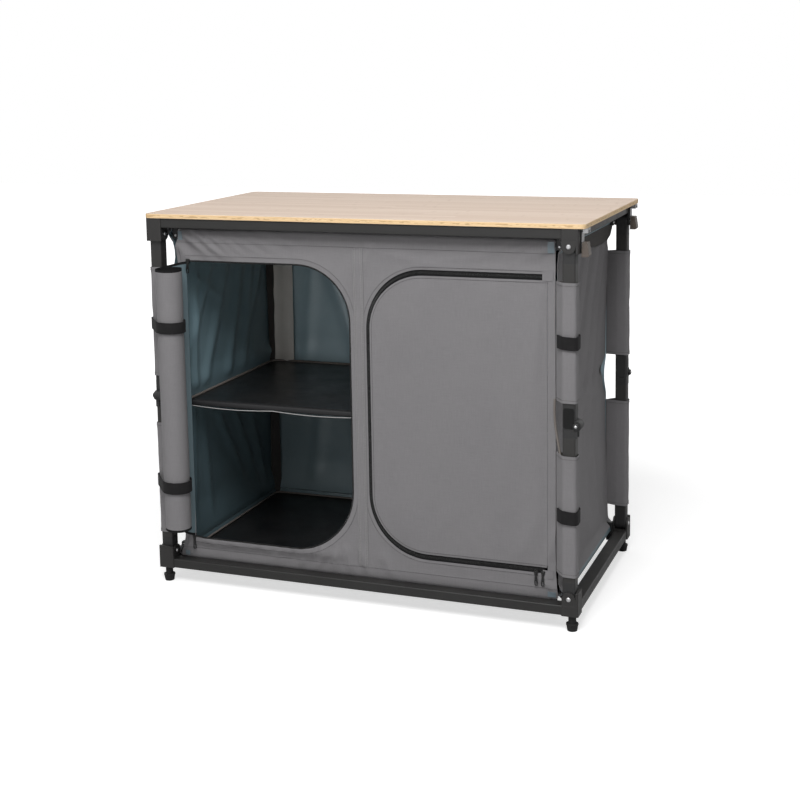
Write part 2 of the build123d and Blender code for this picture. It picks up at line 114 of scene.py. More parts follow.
class Wires:
    def __init__(self, tree):
        self.tree = tree

    def put(self, socket, value):
        if isinstance(value, bpy.types.NodeSocket):
            self.tree.links.new(value, socket)
        elif value is not None:
            socket.default_value = value

    def fill(self, made, values):
        for key, value in values.items():
            self.put(made.inputs[key], value)

    def node(self, kind, values=None, **settings):
        made = self.tree.nodes.new(kind)
        for key, value in settings.items():
            setattr(made, key, value)
        self.fill(made, values or {})
        return made

    def maths(self, operation, a, b=None, clamp=False):
        made = self.node("ShaderNodeMath", {0: a, 1: b}, operation=operation, use_clamp=clamp)
        return made.outputs[0]

    def times(self, a, b, clamp=False):
        return self.maths("MULTIPLY", a, b, clamp)

    def plus(self, a, b):
        return self.maths("ADD", a, b)

    def minus(self, a, b):
        return self.maths("SUBTRACT", a, b)

    def size(self, a):
        return self.maths("ABSOLUTE", a)

    def fromHalf(self, a):
        return self.size(self.minus(a, 0.5))

    def vector(self, operation, a, b=None):
        made = self.node("ShaderNodeVectorMath", {0: a, 1: b}, operation=operation)
        return made.outputs["Value"]

    def split(self, vector):
        return self.node("ShaderNodeSeparateXYZ", {0: vector}).outputs

    def spot(self):
        return self.node("ShaderNodeTexCoord").outputs["Object"]

    def normal(self):
        return self.node("ShaderNodeNewGeometry").outputs["Normal"]

    def cloth(self):
        return self.node("ShaderNodeUVMap", uv_map="cloth").outputs[0]

    def noise(self, vector, scale, detail=2.0, rough=0.5):
        made = self.node("ShaderNodeTexNoise", {"Vector": vector, "Scale": scale,
                                                "Detail": detail, "Roughness": rough})
        return made.outputs["Fac"]

    def stretch(self, vector, scale):
        return self.node("ShaderNodeMapping", {"Vector": vector, "Scale": scale}).outputs[0]

    def remap(self, value, low, high, newLow=0.0, newHigh=1.0):
        made = self.node("ShaderNodeMapRange", {"Value": value, "From Min": low, "From Max": high,
                                                "To Min": newLow, "To Max": newHigh})
        return made.outputs[0]

    def mix(self, factor, first, second):
        made = self.node("ShaderNodeMix", data_type="RGBA")
        for index, value in ((0, factor), (6, first), (7, second)):
            self.put(made.inputs[index], [*value, 1] if isinstance(value, list) else value)
        return made.outputs[2]

    def bump(self, height, strength, distance, normal=None):
        made = self.node("ShaderNodeBump", {"Height": height, "Strength": strength,
                                            "Distance": distance, "Normal": normal})
        return made.outputs[0]


def buildWeaveGroup():  # plain weave with slubs: threads cross over and under
    group, ins, outs = startGroup("clothWeave", {"Vector": (0, 0, 0), "Threads": 900.0, "Slub": 0.5},
                                  {"Shade": 0.0, "Height": 0.0, "Mottle": 0.0})
    w = Wires(group)
    along, across = (w.times(part, ins["Threads"]) for part in w.split(ins["Vector"])[:2])
    warp, weft = (w.size(w.maths("SINE", w.times(way, math.pi))) for way in (along, across))
    over = w.maths("FLOORED_MODULO", w.plus(w.maths("FLOOR", along), w.maths("FLOOR", across)), 2.0)
    height = w.node("ShaderNodeMix", {0: over, 2: warp, 3: weft}).outputs[0]
    upright, level = (w.noise(w.stretch(ins["Vector"], run), 1.0, 2.0, 0.6)
                      for run in ((620.0, 34.0, 1.0), (34.0, 620.0, 1.0)))
    slub = w.plus(w.times(upright, 0.5), w.times(level, 0.5))
    shade = w.plus(w.remap(height, 0.0, 1.0, -0.16, 0.1), w.times(w.minus(slub, 0.5), ins["Slub"]))
    w.put(outs["Shade"], w.plus(shade, 0.5))
    w.put(outs["Height"], w.plus(height, w.times(slub, 1.4)))
    w.put(outs["Mottle"], w.noise(ins["Vector"], 9.0, 3.0, 0.55))
    return group


def buildEdgeGroup():  # rounds the edges and marks where paint rubs thin
    group, ins, outs = startGroup("edgeWear", {"Radius": 0.0008, "Amount": 0.5, "Scale": 60.0},
                                  {"Wear": 0.0, "Normal": (0, 0, 0)})
    w = Wires(group)
    bevel = w.node("ShaderNodeBevel", {"Radius": ins["Radius"]}, samples=4).outputs[0]
    edge = w.remap(w.vector("DOT_PRODUCT", bevel, w.normal()), 0.995, 0.8)
    patchy = w.remap(w.noise(w.spot(), ins["Scale"], 4.0, 0.7), 0.42, 0.66)
    w.put(outs["Wear"], w.times(w.times(edge, patchy), ins["Amount"], clamp=True))
    w.put(outs["Normal"], bevel)
    return group


def buildDustGroup():  # pale dust that lies on what faces up, and faint rubbed patches
    group, ins, outs = startGroup("dustFilm", {"Amount": 0.3, "Scale": 14.0}, {"Dust": 0.0, "Smudge": 0.0})
    w = Wires(group)
    spot = w.spot()
    cloud = w.remap(w.noise(spot, ins["Scale"], 5.0, 0.6), 0.38, 0.75)
    lying = w.times(w.remap(w.split(w.normal())[2], 0.1, 0.9, 0.15, 1.0), cloud)
    w.put(outs["Dust"], w.times(lying, ins["Amount"], clamp=True))
    w.put(outs["Smudge"], w.noise(spot, ins["Scale"], 4.0, 0.65))
    return group


def buildGrainGroup():  # fine pebbled grain of powder coat and moulded plastic
    group, ins, outs = startGroup("pebbleGrain", {"Scale": 900.0}, {"Height": 0.0, "Fleck": 0.0})
    w = Wires(group)
    spot = w.spot()
    fine = w.noise(spot, ins["Scale"], 2.0, 0.6)
    broad = w.noise(spot, w.times(ins["Scale"], 0.28), 2.0, 0.5)
    w.put(outs["Height"], w.plus(w.times(fine, 0.7), w.times(broad, 0.5)))
    w.put(outs["Fleck"], w.remap(fine, 0.3, 0.7))
    return group


groups = {"weave": buildWeaveGroup(), "edge": buildEdgeGroup(),
          "dust": buildDustGroup(), "grain": buildGrainGroup()}


def startMaterial(name):
    material = bpy.data.materials.new(name)
    material.use_nodes = True
    tree = material.node_tree
    tree.nodes.clear()
    output = tree.nodes.new("ShaderNodeOutputMaterial")
    shader = tree.nodes.new("ShaderNodeBsdfPrincipled")
    tree.links.new(shader.outputs[0], output.inputs[0])
    return material, Wires(tree), shader


def useGroup(w, name, values):
    return w.node("ShaderNodeGroup", values, node_tree=groups[name]).outputs


def tint(colour, share):
    return [part * share for part in colour]


def clothMaterial(name, look):
    material, w, shader = startMaterial(name)
    weave = useGroup(w, "weave", {"Vector": w.cloth(), "Threads": look["threads"], "Slub": look["slub"]})
    colour = w.mix(weave["Shade"], tint(look["colour"], 1.0 - look["contrast"]),
                   tint(look["colour"], 1.0 + look["contrast"]))
    faded = w.remap(weave["Mottle"], 0.3, 0.7)
    colour = w.mix(w.times(faded, look["fade"]), colour, look["fadeColour"])
    if "glow" in look:  # painted light: brightened above the shelf, standing in for light coming through the thin cloth
        glow = w.remap(w.split(w.spot())[2], 0.38, 0.43, 1.0, look["glow"])
        colour = w.node("ShaderNodeHueSaturation", {"Value": glow, "Color": colour}).outputs[0]
    w.fill(shader, {
        "Base Color": colour, "Normal": w.bump(weave["Height"], look["bump"], 0.0003),
        "Roughness": w.remap(weave["Shade"], 0.2, 0.8, look["rough"] + 0.06, look["rough"] - 0.06),
        "Sheen Weight": look["sheen"], "Sheen Roughness": 0.45, "Specular IOR Level": look["specular"]})
    return material


def paintMaterial(name, look):  # powder coat, moulded plastic and rubber
    material, w, shader = startMaterial(name)
    grain = useGroup(w, "grain", {"Scale": look["grain"]})
    edge = useGroup(w, "edge", {"Radius": look["edge"], "Amount": look["wear"]})
    dust = useGroup(w, "dust", {"Amount": look["dust"]})
    colour = w.mix(grain["Fleck"], tint(look["colour"], 0.86), tint(look["colour"], 1.16))
    colour = w.mix(edge["Wear"], colour, look["wornColour"])
    rough = w.remap(dust["Smudge"], 0.3, 0.7, look["rough"] - 0.07, look["rough"] + 0.09)
    w.fill(shader, {
        "Base Color": w.mix(dust["Dust"], colour, [0.2, 0.19, 0.18]),
        "Roughness": w.plus(rough, w.times(dust["Dust"], 0.2)),
        "Normal": w.bump(grain["Height"], look["bump"], 0.0002, edge["Normal"]),
        "Specular IOR Level": look["specular"]})
    return material


def metalMaterial(name, look):  # bright metal with brush lines and a dull film
    material, w, shader = startMaterial(name)
    lines = w.noise(w.stretch(w.spot(), look["brush"]), 1.0, 3.0, 0.6)
    edge = useGroup(w, "edge", {"Radius": 0.0004, "Amount": 0.4})
    dust = useGroup(w, "dust", {"Amount": look["film"], "Scale": 120.0})
    colour = w.mix(lines, tint(look["colour"], 0.82), look["colour"])
    w.fill(shader, {
        "Base Color": w.mix(dust["Dust"], colour, [0.3, 0.29, 0.28]), "Metallic": 1.0,
        "Roughness": w.remap(lines, 0.3, 0.7, look["rough"] - 0.06, look["rough"] + 0.1),
        "Normal": w.bump(lines, 0.12, 0.0002, edge["Normal"])})
    return material


def bambooMaterial(look):  # narrow strips along the board, three plies at its edge
    material, w, shader = startMaterial("bamboo board")
    spot = w.spot()
    x, y, z = w.split(spot)
    across = w.times(y, look["strips"])
    strip = w.maths("FLOOR", across)
    slide = w.times(w.maths("SINE", w.times(strip, 12.9898)), 7.3)
    piece = w.maths("FLOOR", w.plus(w.times(x, 1.15), slide))
    key = w.node("ShaderNodeCombineXYZ", {0: w.times(strip, 1.37), 1: w.times(piece, 3.11), 2: 0.5})
    tone = w.node("ShaderNodeTexWhiteNoise", {0: key.outputs[0]}, noise_dimensions="3D").outputs[0]
    shifted = w.node("ShaderNodeCombineXYZ", {0: x, 1: w.plus(y, w.times(tone, 3.0)), 2: z}).outputs[0]
    fibre = w.noise(w.stretch(shifted, (7.0, 900.0, 900.0)), 1.0, 3.0, 0.65)
    broad = w.noise(w.stretch(shifted, (3.0, 60.0, 60.0)), 1.0, 2.0, 0.5)
    groove = w.remap(w.fromHalf(w.maths("FRACT", across)), 0.47, 0.5)
    knotBand = w.maths("FRACT", w.plus(w.times(x, 2.6), w.times(tone, 5.0)))
    knot = w.remap(w.fromHalf(knotBand), 0.012, 0.002)
    face = w.mix(tone, look["pale"], look["deep"])
    for mask, share, colour in ((w.remap(fibre, 0.4, 0.72), 0.34, "fibre"),
                                (w.remap(broad, 0.45, 0.7), 0.25, "deep"),
                                (knot, 0.3, "fibre"), (groove, 0.16, "fibre")):
        face = w.mix(w.times(mask, share), face, look[colour])
    level = w.fromHalf(w.remap(z, 0.810, 0.820))  # 0 half way up the board's edge
    core = w.remap(level, 0.2, 0.16)
    slits = w.remap(w.noise(w.stretch(spot, (95.0, 95.0, 500.0)), 1.0, 2.0, 0.4), 0.5, 0.62)
    streak = w.noise(w.stretch(spot, (14.0, 14.0, 1500.0)), 1.0, 2.0, 0.6)
    edge = w.mix(w.remap(streak, 0.35, 0.7), look["edge"], look["edgeDeep"])
    edge = w.mix(w.times(w.times(core, slits), 0.62), edge, look["slit"])
    glue = w.remap(w.size(w.minus(level, 0.19)), 0.035, 0.0)
    edge = w.mix(w.times(glue, 0.3), edge, look["slit"])
    onEdge = w.remap(w.size(w.split(w.normal())[2]), 0.8, 0.5)
    rounded = w.node("ShaderNodeBevel", {"Radius": 0.0007}, samples=4).outputs[0]
    w.fill(shader, {
        "Base Color": w.mix(onEdge, face, edge), "Specular IOR Level": 0.35,
        "Roughness": w.remap(fibre, 0.3, 0.7, look["rough"], look["rough"] + 0.14),
        "Normal": w.bump(w.minus(w.times(fibre, 0.5), groove), 0.14, 0.0003, rounded)})
    return material


def webbingMaterial(name, look):  # ribs across the band, with a fuzzy pile
    material, w, shader = startMaterial(name)
    flat = w.cloth()
    ribs = w.maths("SINE", w.times(w.split(flat)[look["axis"]], look["ribs"]))
    pile = w.noise(flat, 1500.0, 3.0, 0.7)
    worn = w.remap(w.noise(flat, 40.0, 4.0, 0.6), 0.5, 0.8)
    colour = w.mix(w.remap(pile, 0.3, 0.7), tint(look["colour"], 0.7), tint(look["colour"], 1.5))
    w.fill(shader, {
        "Base Color": w.mix(w.times(worn, 0.2), colour, [0.04, 0.04, 0.04]),
        "Roughness": w.remap(pile, 0.2, 0.8, 0.7, 0.92), "Specular IOR Level": 0.15,
        "Normal": w.bump(w.plus(w.times(ribs, 0.5), pile), 0.5, 0.0003), "Sheen Weight": look["sheen"]})
    return material


def threadMaterial(name, colour):
    material, w, shader = startMaterial(name)
    twist = w.noise(w.spot(), 2600.0, 1.0, 0.5)
    w.fill(shader, {
        "Base Color": w.mix(twist, tint(colour, 0.75), tint(colour, 1.3)),
        "Roughness": w.remap(twist, 0.2, 0.8, 0.55, 0.75), "Normal": w.bump(twist, 0.3, 0.0002)})
    return material


clothLook = {"colour": [0.205, 0.199, 0.206], "contrast": 0.42, "threads": 620.0, "slub": 0.45,
             "fade": 0.22, "fadeColour": [0.235, 0.228, 0.23], "rough": 0.8, "bump": 0.6,
             "sheen": 0.06, "specular": 0.2}
liningLook = {"colour": [0.085, 0.13, 0.15], "contrast": 0.22, "threads": 620.0, "slub": 0.35,
              "fade": 0.4, "fadeColour": [0.115, 0.165, 0.185], "rough": 0.36, "bump": 0.18,
              "sheen": 0.0, "specular": 0.6}
blackPaint = {"colour": [0.019, 0.0185, 0.018], "grain": 1100.0, "edge": 0.0009, "wear": 0.35,
              "wornColour": [0.1, 0.095, 0.09], "dust": 0.06, "rough": 0.42, "bump": 0.12,
              "specular": 0.4}
paint = {
    "cloth_grey": clothMaterial("grey cover cloth", clothLook),
    "cloth_lining": clothMaterial("coated cloth back", liningLook),
    "rail_black": paintMaterial("rail powder coat", blackPaint),
    "cast_black": paintMaterial("bracket powder coat", blackPaint | {
        "colour": [0.022, 0.021, 0.0205], "grain": 700.0, "rough": 0.5, "bump": 0.25}),
    "tube_black": paintMaterial("leg powder coat", blackPaint | {"colour": [0.026, 0.025, 0.024]}),
    "fitting_black": paintMaterial("moulded knee plastic", blackPaint | {
        "colour": [0.02, 0.02, 0.0205], "grain": 1500.0, "rough": 0.52, "bump": 0.35}),
    "knob_black": paintMaterial("moulded knob", blackPaint | {
        "colour": [0.015, 0.015, 0.0155], "grain": 1500.0, "rough": 0.4}),
    "holder_plastic": paintMaterial("rod holder plastic", blackPaint | {
        "colour": [0.008, 0.008, 0.0085], "grain": 1400.0, "rough": 0.4, "wear": 0.15}),
    "foot_rubber": paintMaterial("foot rubber", blackPaint | {
        "colour": [0.012, 0.012, 0.012], "grain": 500.0, "rough": 0.7, "bump": 0.4, "wear": 0.15,
        "dust": 0.15, "specular": 0.3}),
    "board_black": paintMaterial("board foil", blackPaint | {
        "colour": [0.006, 0.006, 0.0066], "grain": 650.0, "rough": 0.36, "bump": 0.12, "wear": 0.1,
        "dust": 0.03, "specular": 0.5}),
    "grip_brown": paintMaterial("clip grip plastic", blackPaint | {
        "colour": [0.098, 0.08, 0.068], "grain": 1500.0, "rough": 0.5, "wear": 0.5,
        "wornColour": [0.3, 0.265, 0.235]}),
    "rivet_steel": metalMaterial("bright rivet", {
        "colour": [0.6, 0.6, 0.61], "brush": (300.0, 300.0, 900.0), "rough": 0.32, "film": 0.3}),
    "rod_steel": metalMaterial("zinc rod", {
        "colour": [0.62, 0.62, 0.64], "brush": (30.0, 900.0, 900.0), "rough": 0.38, "film": 0.3}),
    "clip_steel": metalMaterial("rolled clip sheet", {
        "colour": [0.44, 0.44, 0.45], "brush": (500.0, 500.0, 60.0), "rough": 0.36, "film": 0.3}),
    "slider_black": paintMaterial("lacquered zip slider", blackPaint | {
        "colour": [0.008, 0.008, 0.008], "grain": 300.0, "rough": 0.3, "wear": 0.2, "bump": 0.05,
        "wornColour": [0.16, 0.16, 0.16], "specular": 0.45}),
    "bamboo": bambooMaterial({
        "strips": 47.0, "pale": [0.665, 0.54, 0.445], "deep": [0.59, 0.46, 0.365],
        "fibre": [0.44, 0.315, 0.235], "edge": [0.88, 0.66, 0.4], "edgeDeep": [0.74, 0.5, 0.25],
        "slit": [0.42, 0.24, 0.11], "rough": 0.46}),
    "webbing_black": webbingMaterial("strap webbing", {
        "colour": [0.012, 0.0115, 0.012], "axis": 0, "ribs": 2600.0, "sheen": 0.02}),
    "zip_black": webbingMaterial("zip tape", {
        "colour": [0.0075, 0.0075, 0.008], "axis": 1, "ribs": 3200.0, "sheen": 0.0}),
}
threadDark = threadMaterial("dark thread", [0.075, 0.072, 0.074])
threadGrey = threadMaterial("grey thread", [0.34, 0.335, 0.33])
pipingBrown = threadMaterial("seam binding", [0.15, 0.132, 0.12])
# painted light: lighter copies of the coated cloth, brightened above the shelf as if lit through; the back
# wall's copy is lighter all over
liningBack = clothMaterial("coated cloth back, lit through", liningLook | {
    "colour": [0.15, 0.205, 0.23], "fadeColour": [0.21, 0.265, 0.285], "glow": 2.3})
liningLit = clothMaterial("coated cloth side, lit through", liningLook | {"glow": 1.8})
# the corner flap's cloth: pale, with painted light brightening it above the shelf
liningPale = clothMaterial("pale corner flap cloth, painted brighter above the shelf", liningLook | {
    "colour": [0.25, 0.24, 0.225], "fadeColour": [0.34, 0.33, 0.31], "rough": 0.55, "glow": 2.2})
liningEdge = clothMaterial("lining turned out at the hems", liningLook | {
    "colour": [0.15, 0.19, 0.215], "fadeColour": [0.19, 0.23, 0.25]})
clothBlack = clothMaterial("black pocket cloth", liningLook | {
    "colour": [0.012, 0.012, 0.013], "fadeColour": [0.02, 0.02, 0.021], "rough": 0.6, "specular": 0.3})
kneeBlack = paintMaterial("knee insert", blackPaint | {
    "colour": [0.003, 0.003, 0.0032], "specular": 0.25, "dust": 0.02, "wear": 0.1})
# painted shade: a dark copy of the grey cloth for the sleeves' insides, the skirts' outer sides, the corner
# tapes and the slack hem, where the cloth lies in shade
clothShade = clothMaterial("grey cloth painted dark as shade", clothLook | {
    "colour": [0.05, 0.046, 0.044], "fadeColour": [0.07, 0.065, 0.06]})
toothBlack = paint["slider_black"]

slotOf = {item["node"]: item["material_slot"] for item in frame["record"]["subparts"]}
bodyOf = {node: body for body, names in frame["record"]["behaviour"]["bodies"].items() for node in names}
for name, node in nodes.items():
    finish = paint.get(slotOf.get(name))
    if finish is None:
        continue
    if not node.material_slots:
        node.data.materials.append(finish)
    for slot in node.material_slots:
        slot.material = finish
print("materials on the frame's own nodes")


# Mesh helpers for cloth

def makePiece(name, points, faces, materials, uv=None, slots=None):
    mesh = bpy.data.meshes.new(name)
    mesh.from_pydata([tuple(p) for p in place(points)], [], [tuple(f) for f in faces])
    for material in materials:
        mesh.materials.append(material)
    mesh.polygons.foreach_set("use_smooth", [True] * len(mesh.polygons))
    if slots is not None:
        mesh.polygons.foreach_set("material_index", [int(s) for s in slots])
    if uv is not None:  # metres on the cloth as it was cut
        layer = mesh.uv_layers.new(name="cloth")
        corner = np.zeros(len(mesh.loops), dtype=int)
        mesh.loops.foreach_get("vertex_index", corner)
        layer.data.foreach_set("uv", (np.asarray(uv)[corner] / 1000.0).ravel())
    mesh.update()
    return addObject(name, mesh)


def plainMesh(piece, sharp=50.0):  # modifiers become plain mesh, hard edges stay hard
    graph = bpy.context.evaluated_depsgraph_get()
    mesh = bpy.data.meshes.new_from_object(piece.evaluated_get(graph), depsgraph=graph)
    old = piece.data
    piece.modifiers.clear()
    mesh.name = piece.name
    piece.data = mesh
    if old.users == 0:
        bpy.data.meshes.remove(old)
    if sharp:
        mesh.set_sharp_from_angle(angle=math.radians(sharp))
    return piece


def thicken(piece, thickness, offset=-1.0, sharp=50.0):  # the last half of the materials is the back's
    wall = piece.modifiers.new("wall", "SOLIDIFY")
    wall.thickness = thickness / 1000.0
    wall.offset = offset
    wall.material_offset = len(piece.data.materials) // 2
    return plainMesh(piece, sharp)


def gridFaces(across, up):
    rows = np.arange(up)[:, None] * (across + 1) + np.arange(across)[None, :]
    rows = rows.ravel()
    return np.stack([rows, rows + 1, rows + across + 2, rows + across + 1], axis=1)


def faceAway(piece, middle):  # outer side away from a point, before the cloth gets its thickness
    middle = Vector(place([middle])[0])
    total = sum((face.center - middle).dot(face.normal) * face.area for face in piece.data.polygons)
    if total < 0:
        piece.data.flip_normals()


def gridSheet(name, shape, across, up, flat, materials, thickness, away=coverMiddle):
    u, v = np.meshgrid(np.linspace(0, 1, across + 1), np.linspace(0, 1, up + 1))
    u, v = u.ravel(), v.ravel()
    uv = np.stack([u * flat[0], v * flat[1]], axis=1)
    piece = makePiece(name, shape(u, v), gridFaces(across, up), materials, uv)
    faceAway(piece, away)
    return thicken(piece, thickness)


def insideLoop(points, loop):
    inside = np.zeros(len(points), dtype=bool)
    for (ax, ay), (bx, by) in zip(loop, np.roll(loop, -1, axis=0)):
        if ay == by:
            continue
        crosses = (ay > points[:, 1]) != (by > points[:, 1])
        at = ax + (points[:, 1] - ay) * (bx - ax) / (by - ay)
        inside ^= crosses & (points[:, 0] < at)
    return inside


def nearLine(points, line, closed=True):  # distance from a line drawn in the plane
    starts, ends = line, np.roll(line, -1, axis=0)
    if not closed:
        starts, ends = starts[:-1], ends[:-1]
    best = np.full(len(points), np.inf)
    for start, end in zip(starts, ends):
        run = end - start
        share = np.clip(((points - start) @ run) / max(1e-9, run @ run), 0, 1)
        best = np.minimum(best, np.hypot(*(points - start - share[:, None] * run).T))
    return best


def stepsOf(line):  # length of every step along a line
    steps = np.diff(line, axis=0).T
    return np.hypot(*steps) if len(steps) == 2 else np.linalg.norm(steps, axis=0)


def marksOf(line):  # how far along the line each of its points lies
    return np.concatenate([[0], np.cumsum(stepsOf(line))])


def spread(line, step, closed=False):  # even points along a line
    line = np.asarray(line, dtype=float)
    if closed:
        line = np.vstack([line, line[:1]])
    marks = marksOf(line)
    count = max(1, int(round(marks[-1] / step)))
    spots = np.linspace(0, marks[-1], count + 1)
    if closed:
        spots = spots[:-1]
    return np.stack([np.interp(spots, marks, line[:, k]) for k in range(line.shape[1])], axis=1)


def cutSheet(outline, holes, cell, marks=()):  # triangles that fill an outline, holes left open
    loops = [spread(loop, cell, True) for loop in (outline, *holes)]
    lines = [spread(mark, cell, True) for mark in marks]  # drawn on the cloth without cutting it
    low, high = loops[0].min(axis=0), loops[0].max(axis=0)
    rowShare = 0.9  # height of a row of points for a cell of 1
    across = int((high[0] - low[0]) / cell) + 1
    up = int((high[1] - low[1]) / (cell * rowShare)) + 1
    gx, gy = np.meshgrid(np.arange(across + 1), np.arange(up + 1))
    gx = low[0] + (gx + 0.5 * (gy % 2)) * cell
    spots = np.stack([gx, low[1] + gy * cell * rowShare], axis=-1).reshape(-1, 2)
    keep = insideLoop(spots, loops[0]) & (nearLine(spots, loops[0]) > 0.55 * cell)
    for hole in loops[1:]:
        keep &= ~insideLoop(spots, hole) & (nearLine(spots, hole) > 0.55 * cell)
    for line in lines:
        keep &= nearLine(spots, line) > 0.5 * cell
    verts, edges = [], []
    for loop in loops + lines:
        start, count = len(verts), len(loop)
        edges += [(start + k, start + (k + 1) % count) for k in range(count)]
        verts += [Vector(p) for p in loop]
    verts += [Vector(p) for p in spots[keep]]
    made = delaunay_2d_cdt(verts, edges, [], 0, 1e-5)
    flat = np.array([(v.x, v.y) for v in made[0]])
    faces = np.array([f for f in made[2] if len(f) == 3])
    centre = flat[faces].mean(axis=1)
    keep = insideLoop(centre, loops[0])
    for hole in loops[1:]:
        keep &= ~insideLoop(centre, hole)
    faces = faces[keep]
    a, b, c = (flat[faces[:, k]] for k in range(3))
    turn = (b[:, 0] - a[:, 0]) * (c[:, 1] - a[:, 1]) - (b[:, 1] - a[:, 1]) * (c[:, 0] - a[:, 0])
    faces[turn < 0] = faces[turn < 0][:, ::-1]
    used = np.unique(faces)
    renumber = np.full(len(flat), -1)
    renumber[used] = np.arange(len(used))
    return flat[used], renumber[faces]


def creases(a, b, folds):  # soft ridges, each (middle a, middle b, degrees, length, width, height)
    total = np.zeros_like(a)
    for midA, midB, turn, length, width, height in folds:
        cos, sin = math.cos(math.radians(turn)), math.sin(math.radians(turn))
        along = (a - midA) * cos + (b - midB) * sin
        across = -(a - midA) * sin + (b - midB) * cos
        bend = across + 0.12 * width * np.sin(along / length * 3.0)
        total += height * np.exp(-(along / length) ** 4) * np.exp(-(bend / width) ** 2)
    return total


def ripple(a, b, size, seed):  # gentle unevenness, the same on every run
    random = np.random.default_rng(seed)
    waves = 7
    total = np.zeros_like(a)
    for _ in range(waves):
        turn, phase = random.uniform(0, 2 * math.pi, 2)
        pitch = size * random.uniform(0.6, 1.7)
        total += np.sin((a * math.cos(turn) + b * math.sin(turn)) * 2 * math.pi / pitch + phase)
    return total / waves


def unevenness(a, b, rows):  # ripples, each (height, size, seed)
    return sum(height * ripple(a, b, size, seed) for height, size, seed in rows)


def crumple(piece):  # a mesh of its own for the piece
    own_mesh(piece)


def dress(piece, slot, body="base", replaced=None, soft=True):
    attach(piece, body)
    if replaced:
        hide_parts(replaced)
    if soft:
        crumple(piece)
    return piece


# Geometry Nodes trees for what repeats along a seam or a zip

def startTree(name, inputs):
    tree = bpy.data.node_groups.new(name, "GeometryNodeTree")
    for side in ("OUTPUT", "INPUT"):
        tree.interface.new_socket("Geometry", in_out=side, socket_type="NodeSocketGeometry")
    addSockets(tree, "INPUT", inputs | {"Material": None})
    tree.is_modifier = True
    return groupEnds(tree)


def endTree(w, ins, outs, geometry, smooth=True):
    real = w.node("GeometryNodeRealizeInstances", {0: geometry}).outputs[0]
    shaded = w.node("GeometryNodeSetShadeSmooth", {0: real, "Shade Smooth": smooth}).outputs[0]
    named = w.node("GeometryNodeSetMaterial", {0: shaded, "Material": ins["Material"]})
    w.put(outs[0], named.outputs[0])


def drawnLine(w, ins):
    return w.node("GeometryNodeMeshToCurve", {0: ins["Geometry"]}).outputs[0]


def evenPoints(w, ins):
    values = {"Curve": drawnLine(w, ins), "Length": ins["Pitch"]}
    return w.node("GeometryNodeResampleCurve", values, mode="LENGTH").outputs[0]


def turnTo(w, vector, axis, rotation=None, pivot="AUTO"):
    values = {"Vector": vector, "Rotation": rotation}
    return w.node("FunctionNodeAlignRotationToVector", values, axis=axis, pivot_axis=pivot).outputs[0]


def repeated(w, points, mesh, rotation):
    values = {"Points": points, "Instance": mesh, "Rotation": rotation}
    return w.node("GeometryNodeInstanceOnPoints", values).outputs[0]


def buildStitchTree():
    tree, ins, outs = startTree("seamStitches", {"Pitch": 0.0034, "Stitch Length": 0.0025,
                                                 "Thread Radius": 0.0004})
    w = Wires(tree)
    values = {"Vertices": 5, "Radius": ins["Thread Radius"], "Depth": ins["Stitch Length"]}
    stitch = w.node("GeometryNodeMeshCylinder", values, fill_type="TRIANGLE_FAN").outputs["Mesh"]
    turn = turnTo(w, w.node("GeometryNodeInputTangent").outputs[0], "Z")
    endTree(w, ins, outs, repeated(w, evenPoints(w, ins), stitch, turn))
    return tree


def buildToothTree():
    tree, ins, outs = startTree("zipTeeth", {"Pitch": 0.0026, "Tooth": (0.0014, 0.0036, 0.0016),
                                             "Facing": (0, -1, 0)})
    w = Wires(tree)
    tooth = w.node("GeometryNodeMeshCube", {"Size": ins["Tooth"]}).outputs["Mesh"]
    turn = turnTo(w, w.node("GeometryNodeInputTangent").outputs[0], "X")
    face = turnTo(w, ins["Facing"], "Z", turn, "X")
    endTree(w, ins, outs, repeated(w, evenPoints(w, ins), tooth, face), False)
    return tree


def buildPipingTree():
    tree, ins, outs = startTree("seamPiping", {"Radius": 0.0015, "Sides": 7})
    w = Wires(tree)
    ring = w.node("GeometryNodeCurvePrimitiveCircle", {"Resolution": ins["Sides"], "Radius": ins["Radius"]})
    tube = w.node("GeometryNodeCurveToMesh", {"Curve": drawnLine(w, ins), "Profile Curve": ring.outputs[0],
                                              "Fill Caps": True})
    endTree(w, ins, outs, tube.outputs[0])
    return tree


def buildScrewTree():  # a sloped head with a round recess on every point
    tree, ins, outs = startTree("screwHeads", {"Head Radius": 0.0028, "Head Height": 0.0016,
                                               "Facing": (0, -1, 0)})
    w = Wires(tree)
    radius, height = ins["Head Radius"], ins["Head Height"]
    head = w.node("GeometryNodeMeshCone", {"Vertices": 24, "Radius Bottom": radius, "Depth": height,
                                           "Radius Top": w.times(radius, 0.66)})
    above = w.split(w.node("GeometryNodeInputPosition").outputs[0])[2]
    top = w.maths("GREATER_THAN", above, w.times(height, 0.9))
    ring = w.node("GeometryNodeExtrudeMesh", {"Mesh": head.outputs["Mesh"], "Selection": top,
                                              "Offset Scale": 0.0}, mode="FACES").outputs
    inset = w.node("GeometryNodeScaleElements", {0: ring["Mesh"], "Selection": ring["Top"],
                                                 "Scale": 0.5}, domain="FACE")
    hollow = w.node("GeometryNodeExtrudeMesh", {"Mesh": inset.outputs[0], "Selection": ring["Top"],
                                                "Offset Scale": w.times(height, -0.55)}, mode="FACES")
    turn = turnTo(w, ins["Facing"], "Z")
    endTree(w, ins, outs, repeated(w, ins["Geometry"], hollow.outputs["Mesh"], turn), False)
    return tree


trees = {"stitch": buildStitchTree(), "tooth": buildToothTree(),
         "piping": buildPipingTree(), "screw": buildScrewTree()}


